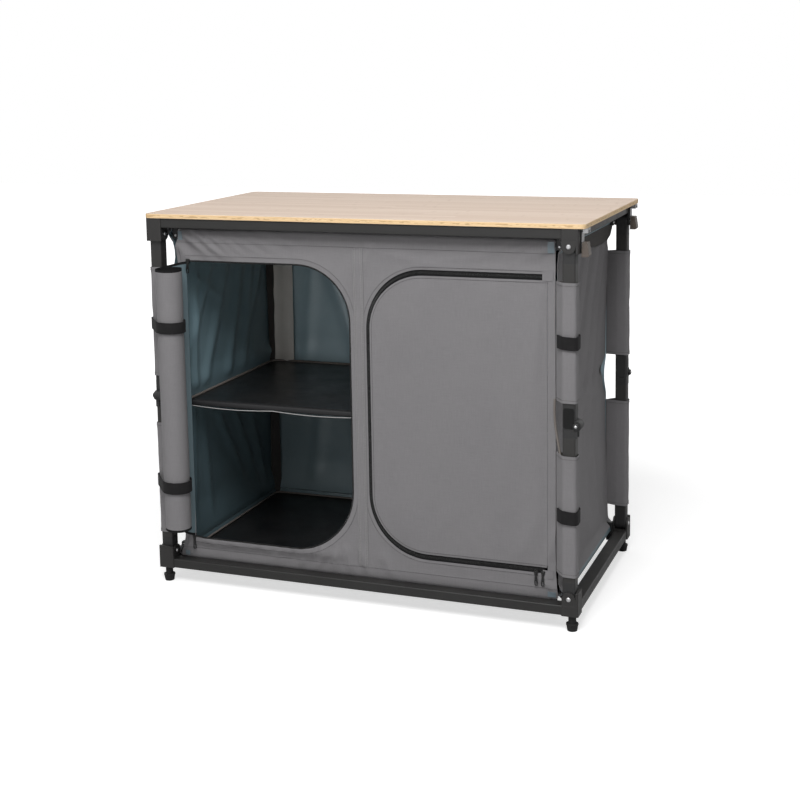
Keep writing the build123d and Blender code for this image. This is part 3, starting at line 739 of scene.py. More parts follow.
def growOn(name, lines, treeName, values):  # lines of points, one plain mesh
    points, edges = [], []
    for line in lines:
        start = len(points)
        points += list(place(line))
        if treeName != "screw":  # screws stand on the points alone
            edges += [(start + k, start + k + 1) for k in range(len(line) - 1)]
    mesh = bpy.data.meshes.new(name)
    mesh.from_pydata([tuple(p) for p in points], edges, [])
    piece = addObject(name, mesh)
    grow = piece.modifiers.new("grow", "NODES")
    grow.node_group = trees[treeName]
    for item in trees[treeName].interface.items_tree:
        if item.in_out == "INPUT" and item.name in values:
            grow[item.identifier] = values[item.name]
    return plainMesh(piece, 0)


print("node trees ready")

# The cover: one cloth box, grey outside and coated inside, hung on eight rods

cover = {
    "cloth": 0.9, "cell": 6.0, "hemTop": 757.0, "hemBottom": 76.0, "hemRadius": 5.4,
    "leftEdge": [(55, -432), (66, -431), (74, -426), (100, -421.5), (300, -420), (600, -418), (715, -415),
                 (730, -417), (745, -419.5), (762, -412), (788, -412)],
    "rightEdge": [(55, 426), (70, 424), (110, 420.5), (600, 420), (757, 420.5), (788, 421)],
    "hemDrop": 2.0,  # the long hems hang down behind the rails
    "foldScale": 2.3, "ripples": ((0.9, 150, 3), (0.3, 42, 5)),
    "sillX": (-408, -18),
    "sillLift": 8.5,  # sag of the empty doorway's low edge
    "opening": {"left": (1.0, 1.0), "right": (3.7, 6.0)},  # how far the cloth's edge lies from the zip
}
doors = {  # hinge and free side in X, the height range and the radius of the top and low corner
    "left": {"hinge": -394.0, "free": -16.0, "low": 102.4, "high": 717.2, "corners": (119.0, 136.0)},
    "right": {"hinge": 404.0, "free": 23.7, "low": 112.4, "high": 710.2, "corners": (122.0, 124.0)},
}
frontFolds = [  # middle X, middle height, direction, length, width, height of each soft fold
    (-368, 752, -38, 46, 8.5, 3.4), (-340, 757, -38, 50, 8.0, 3.6), (-312, 757, -37, 46, 7.5, 3.0),
    (-288, 757, -36, 44, 8.0, 2.5), (-255, 757, -30, 44, 10.0, 1.9), (-215, 760, -26, 44, 10.0, 1.5),
    (-160, 765, -24, 40, 10.0, 1.0), (-400, 735, -52, 34, 9.0, 3.0), (-300, 731, -20, 60, 8.0, 1.6),
    (402, 765, 42, 34, 8.0, 1.6), (380, 763, 38, 36, 9.0, 1.5), (350, 766, 32, 36, 9.0, 1.1),
    (300, 768, 28, 34, 10.0, 0.8), (-130, 84, 62, 22, 7.0, 1.6), (-92, 86, 72, 24, 7.0, 1.8),
    (-60, 88, 84, 26, 8.0, 1.8), (-30, 92, -78, 28, 8.0, 1.5), (-190, 82, 40, 26, 9.0, 1.1),
    (6, 90, -70, 30, 9.0, 1.4), (60, 84, -60, 24, 9.0, 1.1), (-405, 88, 50, 26, 8.0, 1.8),
    (-2, 700, 84, 60, 9.0, 1.4), (26, 742, 70, 30, 9.0, 1.1), (14, 400, 90, 300, 7.0, 0.9),
    (-8, 420, 90, 280, 6.0, 0.7), (408, 140, 80, 60, 8.0, 2.0), (395, 92, -24, 28, 8.0, 1.3),
    (405, 85, -40, 26, 8.0, 1.6), (120, 735, -12, 90, 11.0, 0.9), (230, 742, 10, 90, 11.0, 0.8),
]
sillFolds = [  # short creases where the empty doorway lets the cloth sag
    (-352, 92, -30, 20, 5.0, 1.6), (-322, 90, 34, 18, 5.0, 1.4), (-288, 92, -24, 20, 5.5, 1.6),
    (-255, 89, 38, 18, 5.0, 1.5), (-222, 92, -32, 20, 5.5, 1.7), (-190, 90, 50, 18, 5.0, 1.8),
    (-165, 92, 64, 18, 5.0, 1.9), (-138, 93, 76, 20, 5.5, 2.0), (-112, 96, 84, 22, 6.0, 2.0),
    (-86, 98, -80, 24, 6.0, 1.8),
]
doorFolds = [
    (330, 420, 84, 240, 26, 2.4), (372, 360, 92, 230, 20, 2.2), (285, 560, 88, 160, 24, 1.4),
    (120, 620, 74, 90, 22, 1.2), (90, 240, 100, 110, 24, 1.3), (386, 600, 86, 120, 12, 1.5),
    (355, 160, 70, 80, 16, 1.6), (210, 400, 96, 240, 34, 1.2), (180, 180, 60, 60, 20, 0.9),
    (60, 420, 90, 200, 14, -1.2),
]


def edgeAt(table, height):
    levels, places = zip(*table)
    return np.interp(height, levels, places)


def doorLine(door, grow=0.0, step=4.0, rise=None):  # the three free edges, hinge top to hinge bottom
    side = 1.0 if door["free"] > door["hinge"] else -1.0
    rise = grow if rise is None else rise  # growth up and down, where it differs from across
    free = door["free"] + side * grow
    high, low = door["high"] + rise, door["low"] - rise
    line = [(door["hinge"], high)]
    for corner, start in zip(door["corners"], (90.0, 0.0)):
        wide, tall = corner + grow, corner + rise
        height = high - tall if start else low + tall
        for k in range(19):
            turn = math.radians(start - 5.0 * k)
            line.append((free - side * wide + side * wide * math.cos(turn), height + tall * math.sin(turn)))
    line.append((door["hinge"], low))
    return spread(np.array(line), step)


def fromZip(x, z, door):
    return nearLine(np.stack([x, z], axis=1), doorLine(door, 0.0, 20.0), False)


def frontLift(x, z):  # how far the front cloth stands out from its flat plane
    lift = cover["foldScale"] * creases(x, z, frontFolds)
    free = np.minimum(smooth01((unit["rodHigh"] - z) / 16.0), smooth01((z - 60) / 16.0))
    turnedTop, turnedLow = cover["hemTop"] - 1.5, cover["hemBottom"] + 1.5  # cloth is double beyond these
    lift += 0.7 * (smooth01((z - turnedTop) / 2.5) + smooth01((turnedLow - z) / 2.5))
    lift += unevenness(x, z, cover["ripples"]) * free
    for door in doors.values():  # taut along the zips
        away = fromZip(x, z, door)
        lift *= 0.35 + 0.65 * smooth01((away - 8.0) / 34.0)
        lift += 0.8 * np.exp(-((away - 12.0) / 5.0) ** 2)
    sillLeft, sillRight = cover["sillX"]
    sill = smooth01((x - sillLeft) / 40.0) * smooth01((sillRight - x) / 70.0) * smooth01((200 - z) / 90.0)
    lift += sill * (cover["sillLift"] * smooth01((z - cover["hemBottom"]) / 24.0) + creases(x, z, sillFolds))
    return lift


def hemProfile(plane, rod, drop):  # heights and offsets of a wall hung on two rods
    radius, low, high = cover["hemRadius"], unit["rodLow"], unit["rodHigh"]
    line = [(plane + 3.4, cover["hemBottom"]), (rod + 5.6, low + 5.0)]
    for k in range(9):  # under the low rod
        turn = math.radians(-10 - 20 * k)
        line.append((rod + radius * math.cos(turn), low + radius * math.sin(turn) * drop))
    line += [(plane, z) for z in (low + 9.0, *np.arange(low + 20, high - 14, 20.0), high - 9.0)]
    for k in range(9):  # over the high rod
        turn = math.radians(170 - 20 * k)
        line.append((rod + radius * math.cos(turn), high + radius * math.sin(turn)))
    line += [(rod + 5.6, high - 5.0), (plane + 3.4, cover["hemTop"])]
    return np.array(line)


frontProfile = hemProfile(-unit["frontY"], -unit["rodY"], cover["hemDrop"])
runs = marksOf(frontProfile)
frontStart = float(np.interp(100.0, frontProfile[12:24, 1], runs[12:24])) - 100.0  # flat length at height 0


def frontPoint(x, s):  # from cloth length along the profile to a place in the panel
    y = np.interp(s, runs, frontProfile[:, 0])
    z = np.interp(s, runs, frontProfile[:, 1])
    outer = smooth01((-y - 226.0) / 5.0)
    return np.stack([x, y - frontLift(x, z) * outer, z], axis=1)


def frontY(x, z):
    return -unit["frontY"] - frontLift(x, z)


def buildFront():
    marks = spread(np.stack([runs, runs], axis=1), 8.0)[:, 0]
    heights = np.interp(marks, runs, frontProfile[:, 1])
    inset = 10.0  # the turned hems are cut shorter
    left = [(edgeAt(cover["leftEdge"], z) + (inset if s > runs[-1] - 42 else 0.0), s)
            for s, z in zip(marks, heights)]
    right = [(edgeAt(cover["rightEdge"], z) - (inset if s < 34 else 0.0), s)
             for s, z in zip(marks, heights)]
    holes = []
    for side, door in doors.items():
        wide, tall = cover["opening"][side]
        line = doorLine(door, wide, 4.0, tall)
        holes.append(np.stack([line[:, 0], line[:, 1] + frontStart], axis=1))
    flat, faces = cutSheet(np.array(right + left[::-1]), holes, cover["cell"])
    points = frontPoint(flat[:, 0], flat[:, 1])
    piece = makePiece("coverFrontPanel", points, faces, [paint["cloth_grey"], paint["cloth_lining"]], flat)
    faceAway(piece, coverMiddle)
    return thicken(piece, cover["cloth"])


coverFront = dress(buildFront(), "cloth_grey", replaced="cover_front")
print("front panel", len(coverFront.data.polygons))


# Side and back walls, drawn in between the leg sleeves
walls = {
    "waist": 9.0,  # how far a free upright edge bows in at the knees
    "kneeGap": (372, 470), "topGap": (706, 762),  # heights where no sleeve holds the seam
    "shelfZ": 402.0, "floorZ": 62.0, "footZ": 165,
    "cell": 7.0,
    "rightFolds": [
        (-60, 640, 62, 190, 15, 5.0), (20, 600, 66, 220, 16, 5.5), (95, 560, 70, 240, 14, 5.0),
        (150, 500, 76, 230, 12, 5.0), (-130, 360, 80, 200, 26, 2.5), (60, 260, 100, 170, 24, 3.0),
        (140, 200, 104, 120, 16, 3.5), (-40, 160, 90, 90, 28, 2.0), (180, 640, 60, 90, 9, 3.5),
        (-190, 690, -50, 60, 12, 3.0), (195, 130, -60, 60, 12, 3.0), (90, 372, 24, 90, 10, 2.0)],
    "backFolds": [
        (-250, 600, 76, 190, 12, 6.5), (-292, 560, 90, 230, 10, 6.0), (-330, 600, 98, 180, 9, 5.0),
        (-190, 590, 62, 180, 13, 6.5), (-140, 520, 58, 150, 14, 5.5), (-90, 640, 66, 120, 12, 4.5),
        (-160, 470, 20, 70, 10, 4.0), (-215, 520, -28, 60, 8, 3.5), (-60, 500, 80, 140, 16, 3.5),
        (-290, 250, 82, 120, 10, 4.5), (-240, 220, 66, 130, 12, 4.0), (-150, 200, 96, 110, 18, 3.0),
        (-360, 240, 88, 130, 9, 3.5), (120, 560, 84, 200, 20, 4.0), (220, 520, 72, 190, 16, 4.5),
        (320, 480, 96, 200, 15, 4.0), (180, 220, 80, 120, 22, 3.0), (300, 200, 100, 120, 16, 3.0)],
    "leftFolds": [
        (120, 620, -56, 170, 14, 4.5), (60, 560, -62, 190, 16, 5.0), (-20, 520, -68, 190, 16, 4.5),
        (-100, 560, -74, 170, 16, 4.0), (-160, 620, -60, 110, 14, 4.0), (160, 540, -84, 160, 10, 4.0),
        (100, 640, 30, 70, 10, 3.0), (-60, 240, 62, 130, 12, 4.5), (10, 250, 58, 130, 12, 4.5),
        (-130, 220, 70, 110, 14, 3.5), (120, 230, 84, 120, 14, 3.0), (180, 260, 90, 130, 8, 3.5)],
}


def gapBow(z):  # 1 in the gap between the sleeves, 0 where a sleeve holds the seam
    (kneeLow, kneeHigh), (topLow, topHigh) = walls["kneeGap"], walls["topGap"]
    knee = smooth01((z - kneeLow) / 40.0) * smooth01((kneeHigh - z) / 44.0)
    return knee + 0.22 * smooth01((z - topLow) / 20.0) * smooth01((topHigh - z) / 26.0)


longWall = {
    "half": unit["cornerX"], "rod": unit["rodY"], "plane": -unit["frontY"], "foldScale": 1.7,
    "drop": cover["hemDrop"],  # droop of the tunnel under the low rod
    "drawIn": 0.25,  # how far the seams draw in for a waist of 1
    "room": 223.5,  # the shelves' ends press the cloth out to here
}
shortWall = {
    "half": unit["cornerY"], "rod": unit["rodX"], "plane": -unit["sideX"], "foldScale": 1.2,
    "drop": 0.85, "drawIn": 1.3, "room": 415.4,
}


def wallPoint(along, s, profile, marks, wall):
    # along runs 0..1 between the upright seams, s is the cloth length up the wall
    off = np.interp(s, marks, profile[:, 0])
    z = np.interp(s, marks, profile[:, 1])
    free = smooth01((z - cover["hemBottom"]) / 60.0) * smooth01((walls["topGap"][1] - z) / 50.0)
    bow = walls["waist"] * gapBow(z)
    run = (2 * along - 1) * (wall["half"] - bow * wall["drawIn"])
    edge = smooth01(np.minimum(along, 1 - along) * 2 * wall["half"] / 70.0)
    lift = wall["foldScale"] * creases(run, z, wall["folds"]) * free * (0.25 + 0.75 * edge)
    lift += unevenness(run, z, ((1.6, 190, wall["seed"]), (0.6, 70, wall["seed"] + 1))) * free * edge
    inward = bow * (1 - edge * 0.55) + lift
    inward += wall["foot"] * smooth01((walls["footZ"] - z) / 95.0) * smooth01((z - walls["floorZ"]) / 5.0)
    pressed = np.maximum(0.0, inward - (-off - wall["room"]))
    inward -= np.exp(-((z - walls["shelfZ"]) / 24.0) ** 4) * pressed
    return off, z, run, inward


def buildWall(name, side, wall, replaced):
    lengthwise = wall["rod"] == unit["rodY"]  # the back wall faces +Y, the side walls face X
    profile = hemProfile(wall["plane"], -wall["rod"], wall["drop"])
    hung = unit["rodHigh"] - unit["rodLow"]
    flatHalf = hung / 2 - 9.0  # the cloth is flat this far up and down from the knees
    if not lengthwise:  # the cloth comes down on the rod's inner side, its tunnel goes over it
        height = profile[:, 1]
        waisted = walls["waist"] * np.sin(np.clip((height - unit["rodLow"]) / hung, 0, 1) * math.pi)
        profile[:, 0] = np.where(np.abs(height - unit["kneeZ"]) < flatHalf, wall["plane"] + waisted,
                                 -2 * wall["rod"] - profile[:, 0])
    marks = marksOf(profile)
    wide, tall = 2 * wall["half"], marks[-1]

    def shape(u, v):
        off, z, run, inward = wallPoint(u, v * tall, profile, marks, wall)
        depth = -off - np.where(np.abs(z - unit["kneeZ"]) < flatHalf - 6.5, inward, 0)
        if lengthwise:
            return np.stack([-run * side, side * depth, z], axis=1)
        return np.stack([side * depth, run * side, z], axis=1)

    piece = gridSheet(name, shape, int(wide / walls["cell"]), int(tall / walls["cell"]), (wide, tall),
                      [paint["cloth_grey"], wall["inner"]], cover["cloth"])
    return dress(piece, "cloth_grey", replaced=replaced)


backLook = {"folds": walls["backFolds"], "seed": 11, "inner": liningBack,
            "foot": 10.5}  # how far the cloth is drawn in to the floor board
leftLook = {"folds": walls["leftFolds"], "seed": 17, "inner": liningLit, "foot": 12.5}
rightLook = {"folds": walls["rightFolds"], "seed": 23, "inner": liningLit, "foot": 0.0}
backWall = buildWall("coverBackWall", 1, longWall | backLook, "cover_back")
leftWall = buildWall("coverLeftWall", -1, shortWall | leftLook, "cover_left")
rightWall = buildWall("coverRightWall", 1, shortWall | rightLook, "cover_right")
print("walls")


def flatPanel(name, low, high, materials, replaced, look):
    # a cloth sheet that fills a rectangle square to one axis, with a light sag
    spans = [high[0] - low[0], high[1] - low[1]]

    def shape(u, v):
        a, b = low[0] + u * spans[0], low[1] + v * spans[1]
        away = np.minimum(np.minimum(u, 1 - u) * spans[0], np.minimum(v, 1 - v) * spans[1])
        c = look["at"] + look["sag"] * smooth01(away / 40.0) * ripple(a, b, 160, look["seed"])
        return np.stack([a, b, c] if look["axis"] == "z" else [c, a, b], axis=1)

    piece = gridSheet(name, shape, int(spans[0] / 12), int(spans[1] / 12), spans, materials, cover["cloth"])
    return dress(piece, "cloth_lining", replaced=replaced)


coverFloor = flatPanel("coverFloorCloth", (-425, -221), (425, 221),
                       [paint["cloth_lining"], paint["cloth_grey"]], "cover_floor",
                       {"axis": "z", "at": 57.3, "sag": -0.8, "seed": 31})
divider = flatPanel("coverDivider", (-219, 67), (219, 784), [paint["cloth_lining"]], "cover_divider",
                    {"axis": "x", "at": unit["seamX"], "sag": 2.0, "seed": 37})


def strip(name, line, tops, slot, rods, materials, held="hung", rows=6, away=coverMiddle, wave=0.0):
    # a narrow sheet between two lines of points
    line, tops = np.asarray(line, dtype=float), np.asarray(tops, dtype=float)
    length = float(stepsOf(line).sum())
    height = float(np.linalg.norm(tops - line, axis=1).mean())
    marks = np.linspace(0, 1, len(line))

    def shape(u, v):
        low, high = (np.stack([np.interp(u, marks, side[:, k]) for k in range(3)], axis=1)
                     for side in (line, tops))
        points = low + (high - low) * v[:, None]
        if wave:
            points[:, 1] -= wave * ripple(points[:, 0], points[:, 2], 60, 71) * np.sin(v * math.pi)
        return points

    across = max(2, int(length / 9))
    piece = dress(gridSheet(name, shape, across, rows, (length, height), materials, 0.8, away), slot)


# Inner skirts that close the floor to the walls, tapes and a flap in the back corners
skirts = {  # low and high line, each from end to end
    "skirtLeft": ([(-413.0, -219, 66.5), (-413.0, 220, 66.5)], [(-416.0, -222, 78), (-416.0, 222, 78)]),
    "skirtRight": ([(413.6, -219, 67), (413.6, 220, 67)], [(424.5, -229, 98), (424.5, 229, 98)]),
    "skirtBack": ([(-413, 220.1, 66.5), (413, 220.1, 66.5)], [(-417, 223.0, 78), (417, 223.0, 78)]),
}
tapes = {
    "cornerTapeLowLeft": ([(-422, 207, 66), (-402, 225, 66)], [(-414, 203, 421), (-402, 218, 421)]),
    "cornerTapeTopLeft": ([(-414, 203, 421), (-402, 218, 421)], [(-422, 207, 774), (-402, 227, 774)]),
    "cornerTapeLowRight": ([(402, 225, 66), (422, 207, 66)], [(402, 218, 421), (414, 203, 421)]),
    "cornerTapeTopRight": ([(402, 218, 421), (414, 203, 421)], [(402, 227, 774), (422, 207, 774)]),
}
flap = ([(-410.0, 212.0, 408), (-392.0, 216.5, 407), (-373.0, 214.0, 407), (-355.0, 217.5, 407)],
        [(-415.0, 219.5, 772), (-397.0, 224.5, 772), (-377.0, 221.5, 772), (-357.0, 225.5, 772)])
# painted shade: the skirts' outer sides and both sides of the corner tapes take the dark cloth, where the
# wall bottoms and back corners lie in shade
for name, lines in skirts.items():
    strip(name, *lines, "cloth_lining", "floor_board", [clothShade, paint["cloth_lining"]], "laid")
for name, lines in tapes.items():
    strip(name, *lines, "cloth_lining", "top_rods", [clothShade, clothShade])
strip("cornerFlap", *flap, "cloth_lining", "top_rods", [liningPale], rows=40, away=(-390, 400, 600), wave=2.4)
print("floor, divider and inner strips")


# Zips: tape ribbon, a row of teeth on each half, and the door panel
zipLook = {"tapeThick": 0.7, "tapeBack": 0.9, "toothPitch": 0.0026, "tooth": (0.0014, 0.0032, 0.0018)}


def onFront(line, back):  # a row of points X, height laid on the front cloth
    return np.stack([line[:, 0], frontY(line[:, 0], line[:, 1]) + back, line[:, 1]], axis=1)


def ribbon(name, door, near, far):
    # a strip along the free edges, between two offsets from the door's line
    inner, outer = doorLine(door, near), doorLine(door, far)
    count = min(len(inner), len(outer))
    inner, outer = (spread(edge, 1.0) for edge in (inner, outer))
    inner, outer = (edge[np.linspace(0, len(edge) - 1, count).astype(int)] for edge in (inner, outer))
    points, uv = [], []
    length = marksOf(inner)
    for k, line in enumerate((inner, inner * 0.5 + outer * 0.5, outer)):
        points.append(onFront(line, zipLook["tapeBack"]))
        uv.append(np.stack([np.full(count, (far - near) * k / 2.0), length], axis=1))
    points, uv = np.concatenate(points), np.concatenate(uv)
    piece = makePiece(name, points, gridFaces(count - 1, 2), [paint["zip_black"]], uv)
    return thicken(piece, zipLook["tapeThick"], 0.0)


def toothRow(name, door, offset, back):
    return growOn(name, [onFront(doorLine(door, offset, 2.0), back)], "tooth", {
        "Pitch": zipLook["toothPitch"], "Tooth": zipLook["tooth"], "Facing": (0, -1, 0),
        "Material": toothBlack})


def joinPieces(name, pieces):
    keep = pieces[0]
    with bpy.context.temp_override(active_object=keep, object=keep, selected_objects=pieces,
                                   selected_editable_objects=pieces):
        bpy.ops.object.join()
    keep.name = name
    keep.data.name = name
    return keep


def zipHalf(name, door, tape, teeth, back):  # both edges of the tape and the teeth, from the door's line
    return joinPieces(name, [ribbon("tape", door, *tape), toothRow("teeth", door, teeth, back)])


zipDoor = doors["right"] | {"hinge": 396.0}  # the zip stops short of the hinge
dress(zipHalf("zipLeftOpening", doors["left"], (-1.8, 7.0), -1.0, 0.7), "zip_black", replaced="zip_left")
dress(zipHalf("zipRightOpening", zipDoor, (0.3, 10.0), 1.1, 0.6), "zip_black", replaced="zip_right")


doorLook = {
    "foldScale": 1.6, "ripples": ((1.2, 210, 41), (0.35, 50, 43)), "fold": 6.0, "set": 0.6,
    "gap": 3.4, "gapTall": 6.4,  # from the zip's line, across and upright
}


def doorLift(x, z):
    edge = smooth01(fromZip(x, z, doors["right"]) / 40.0)
    edge *= smooth01((doors["right"]["hinge"] - 2.0 - x) / 16.0)
    return (doorLook["foldScale"] * creases(x, z, doorFolds) + unevenness(x, z, doorLook["ripples"])) * edge


def buildDoor():
    door = doors["right"]
    outline = doorLine(door, -doorLook["gap"], 4.0, -doorLook["gapTall"])
    outline[0, 0] = outline[-1, 0] = door["hinge"] - 0.5
    flat, faces = cutSheet(outline, [], cover["cell"])
    x, z = flat[:, 0], flat[:, 1]
    edge = smooth01(fromZip(x, z, door) / 30.0)
    y = frontY(x, z) * (1 - edge) + edge * (-unit["frontY"] - doorLook["set"]) - doorLift(x, z)
    y = np.where(x > door["hinge"] - doorLook["fold"], frontY(x, z), y)  # flush with the front at its fold
    materials = [paint["cloth_grey"], paint["cloth_lining"]]
    piece = makePiece("doorRightPanel", np.stack([x, y, z], axis=1), faces, materials, flat)
    faceAway(piece, (200, 0, 421))
    return thicken(piece, cover["cloth"])


doorRight = dress(buildDoor(), "cloth_grey", "door_right", "door_right")
dress(zipHalf("doorRightZip", zipDoor, (-9.0, -0.1), -1.1, 0.6), "zip_black", "door_right")
print("doors and zips")


# Sleeves round the legs, the straps that close them, and the rolled door

wraps = {
    "half": 15.2, "round": 6.5, "cloth": 1.2, "upper": (466.0, 704.0), "lower": (113.0, 360.0),
    "flare": 0.9, "pinch": 0.8, "hemInset": 6.0,  # a sleeve flares at its ends, straps pinch it
    "strapHalf": 16.8, "strapRound": 8.5, "strapThick": 1.6,
    "strapUpper": (573.0, 599.0), "strapLower": (222.0, 249.0),
    "rollX": -408.0, "rollY": -285.0, "rollRadius": 28.8, "rollLow": 134.0, "rollHigh": 706.0,
    "rollWidth": 369.0, "layer": 1.2, "rollStrapUpper": (570.0, 594.0), "rollStrapLower": (220.0, 245.0),
    "rollLean": (0.8, -0.8),  # how far the roll's low and high ends stand from its middle in X
    # the inner band is painted shade, black inside the roll's ends; tape is the zip tape along its edge
    "tape": 5.5, "innerShade": 26.0, "tightTurns": 1.35, "core": 6.0,
}
seams = {"frontRight": (421.0, -231.5), "backRight": (421.0, 231.5),
         "backLeft": (-421.0, 231.5), "frontLeft": (-421.0, -231.5)}


def hullOf(points):  # outline of a rubber band round the points
    points = sorted(map(tuple, points))

    def chain(row):
        made = []
        for p in row:
            while len(made) > 1 and ((made[-1][0] - made[-2][0]) * (p[1] - made[-2][1])
                                     - (made[-1][1] - made[-2][1]) * (p[0] - made[-2][0])) <= 0:
                made.pop()
            made.append(p)
        return made[:-1]

    return np.array(chain(points) + chain(points[::-1]))


def circle(x, z, radius, count=14):
    return [(x + radius * math.cos(turn), z + radius * math.sin(turn))
            for turn in np.linspace(0, 2 * math.pi, count, endpoint=False)]


def roundSquare(middle, half, corner):
    points = []
    for k in range(4):
        turn = math.radians(90 * k)
        cx = middle[0] + (half - corner) * (math.cos(turn) - math.sin(turn))
        cy = middle[1] + (half - corner) * (math.sin(turn) + math.cos(turn))
        for j in range(7):
            bend = math.radians(90 * k + 15 * j)
            points.append((cx + corner * math.cos(bend), cy + corner * math.sin(bend)))
    return points


def leanAt(height):
    return np.interp(height, (wraps["rollLow"], wraps["rollHigh"]), wraps["rollLean"])


def startFrom(loop, spot):  # the loop as an open line that begins and ends nearest the spot
    first = int(np.argmin(np.hypot(*(loop - np.array(spot)).T)))
    turned = np.roll(loop, -first, axis=0)
    return np.vstack([turned, turned[:1]])


def strapped(z, straps, width):  # 1 under a strap, 0 away from it
    return sum(np.exp(-((z - sum(wraps[strap]) / 2) / width) ** 2) for strap in straps)


def sleeve(name, corner, low, high, seed):
    middle, seam = legs[corner], seams[corner]
    line = startFrom(hullOf(roundSquare(middle, wraps["half"], wraps["round"]) + [seam]), seam)
    line = spread(line, 2.5)
    outward = line - np.array(middle)
    outward /= np.linalg.norm(outward, axis=1)[:, None]
    marks = np.linspace(0, 1, len(line))
    length = float(stepsOf(line).sum())

    def around(table, u):
        return np.interp(u, marks, table[:, 0]), np.interp(u, marks, table[:, 1])

    def shape(u, v):
        z = low + v * (high - low)
        hold = smooth01(np.minimum(u, 1 - u) * length / 16.0)
        ends = np.exp(-((z - low) / 9.0) ** 2) + np.exp(-((z - high) / 9.0) ** 2)
        swell = unevenness(u * length, z, ((0.9, 90, seed), (0.4, 30, seed + 1)))
        pinch = wraps["pinch"] * strapped(z, ("strapUpper", "strapLower"), 16.0)
        puff = hold * (swell + wraps["flare"] * ends - pinch)
        (x, y), (outX, outY) = around(line, u), around(outward, u)
        z = z + 1.3 * np.sin(u * 6.3 + seed) * (ends * 0.6)
        return np.stack([x + outX * puff, y + outY * puff, z], axis=1)

    # the sleeve's inner side is painted shade: dark cloth for the shaded gap round the leg
    made = gridSheet(name, shape, len(line) - 1, int((high - low) / 5), (length, high - low),
                     [paint["cloth_grey"], clothShade], wraps["cloth"], (*middle, (low + high) / 2))
    rows = []
    for z in (low + wraps["hemInset"], high - wraps["hemInset"]):  # a row of stitches near each end
        u = np.linspace(0.04, 0.96, 60)
        outX, outY = around(outward, u)
        rows.append(shape(u, np.full_like(u, (z - low) / (high - low)))
                    + np.stack([outX * 0.3, outY * 0.3, u * 0], axis=1))
    return made, rows, length


sleeves, sleeveRows = [], []
for index, corner in enumerate(legs):
    for part in ("upper", "lower"):
        low, high = wraps[part]
        made, rows, length = sleeve("sleeve_%s_%s" % (part, corner), corner, low, high,
                                    50 + 7 * index + (part == "lower"))
        sleeves.append(dress(made, "cloth_grey"))
        sleeveRows += rows
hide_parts("leg_sleeves")
print("sleeves", len(sleeves))


def band(name, loop, low, high, seed, corner):
    line = spread(loop, 3.0, True)
    count, rows = len(line), 5
    length = float(stepsOf(np.vstack([line, line[:1]])).sum())
    share = np.arange(count) / count
    points, uv = [], []
    for z in np.linspace(low, high, rows + 1):
        sway = 0.7 * np.sin(share * 2 * math.pi * 2 + seed)
        points.append(np.stack([line[:, 0], line[:, 1], z + sway], axis=1))
        uv.append(np.stack([share * length, np.full(count, z - low)], axis=1))
    faces = []
    for row in range(rows):
        for k in range(count):
            a, b = row * count + k, row * count + (k + 1) % count
            faces.append((a, b, b + count, a + count))
    piece = makePiece(name, np.concatenate(points), faces, [paint["webbing_black"]], np.concatenate(uv))
    faceAway(piece, (*line.mean(axis=0), (low + high) / 2))
    dress(thicken(piece, wraps["strapThick"], 1.0), "webbing_black")
    return piece


for strap in ("strapUpper", "strapLower"):
    corner = "frontRight"
    seam = np.array(seams[corner]) * 0.75 + np.array(legs[corner]) * 0.25 + np.array([-2.0, -9.0])
    loop = hullOf(roundSquare(legs[corner], wraps["strapHalf"], wraps["strapRound"]) + [tuple(seam)])
    band("%s_%s" % (strap, corner), loop, *wraps[strap], 0, corner)
for strap in ("rollStrapUpper", "rollStrapLower"):
    middle = wraps["rollX"] + leanAt(sum(wraps[strap]) / 2)
    ring = circle(middle, wraps["rollY"], wraps["rollRadius"] + 1.4, 48)
    loop = hullOf(roundSquare(legs["frontLeft"], wraps["strapHalf"], wraps["strapRound"]) + ring)
    band(strap, loop, *wraps[strap], 5, "frontLeft")
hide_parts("straps")


def rollPlace(t):  # from cloth width to a place in plan: the hinge, a short run, then the roll
    hinge = np.array([doors["left"]["hinge"], -unit["frontY"] + 0.5])
    middle = np.array([wraps["rollX"], wraps["rollY"]])
    away = hinge - middle
    reach = float(np.hypot(*away))
    radius = wraps["rollRadius"]
    touch = math.atan2(away[1], away[0]) + math.acos(radius / reach)
    run = math.sqrt(reach * reach - radius * radius)
    first = middle + radius * np.array([math.cos(touch), math.sin(touch)])
    rest = np.maximum(0.0, t - run)
    turns = np.linspace(0, 14.0, 800)  # tight outer turns, then a loose curl at the core
    tight = wraps["tightTurns"] * 2 * math.pi
    reachIn = radius - wraps["layer"] / (2 * math.pi) * np.minimum(turns, tight)
    reachIn = np.maximum(wraps["core"], reachIn - 5.0 * np.maximum(0.0, turns - tight))
    lengths = np.concatenate([[0], np.cumsum(0.5 * (reachIn[1:] + reachIn[:-1]) * np.diff(turns))])
    turn = np.interp(rest, lengths, turns)
    around = np.interp(turn, turns, reachIn)
    share = np.clip(t / run, 0, 1)[:, None]
    straight = hinge + (first - hinge) * share
    straight += np.array([0.62, -0.78]) * (2.5 * np.sin(share * math.pi))  # hangs slack before the roll
    angle = touch + turn
    rolled = middle + np.stack([around * np.cos(angle), around * np.sin(angle)], axis=1)
    return np.where((t < run)[:, None], straight, rolled), np.clip(rest / 60.0, 0, 1), angle


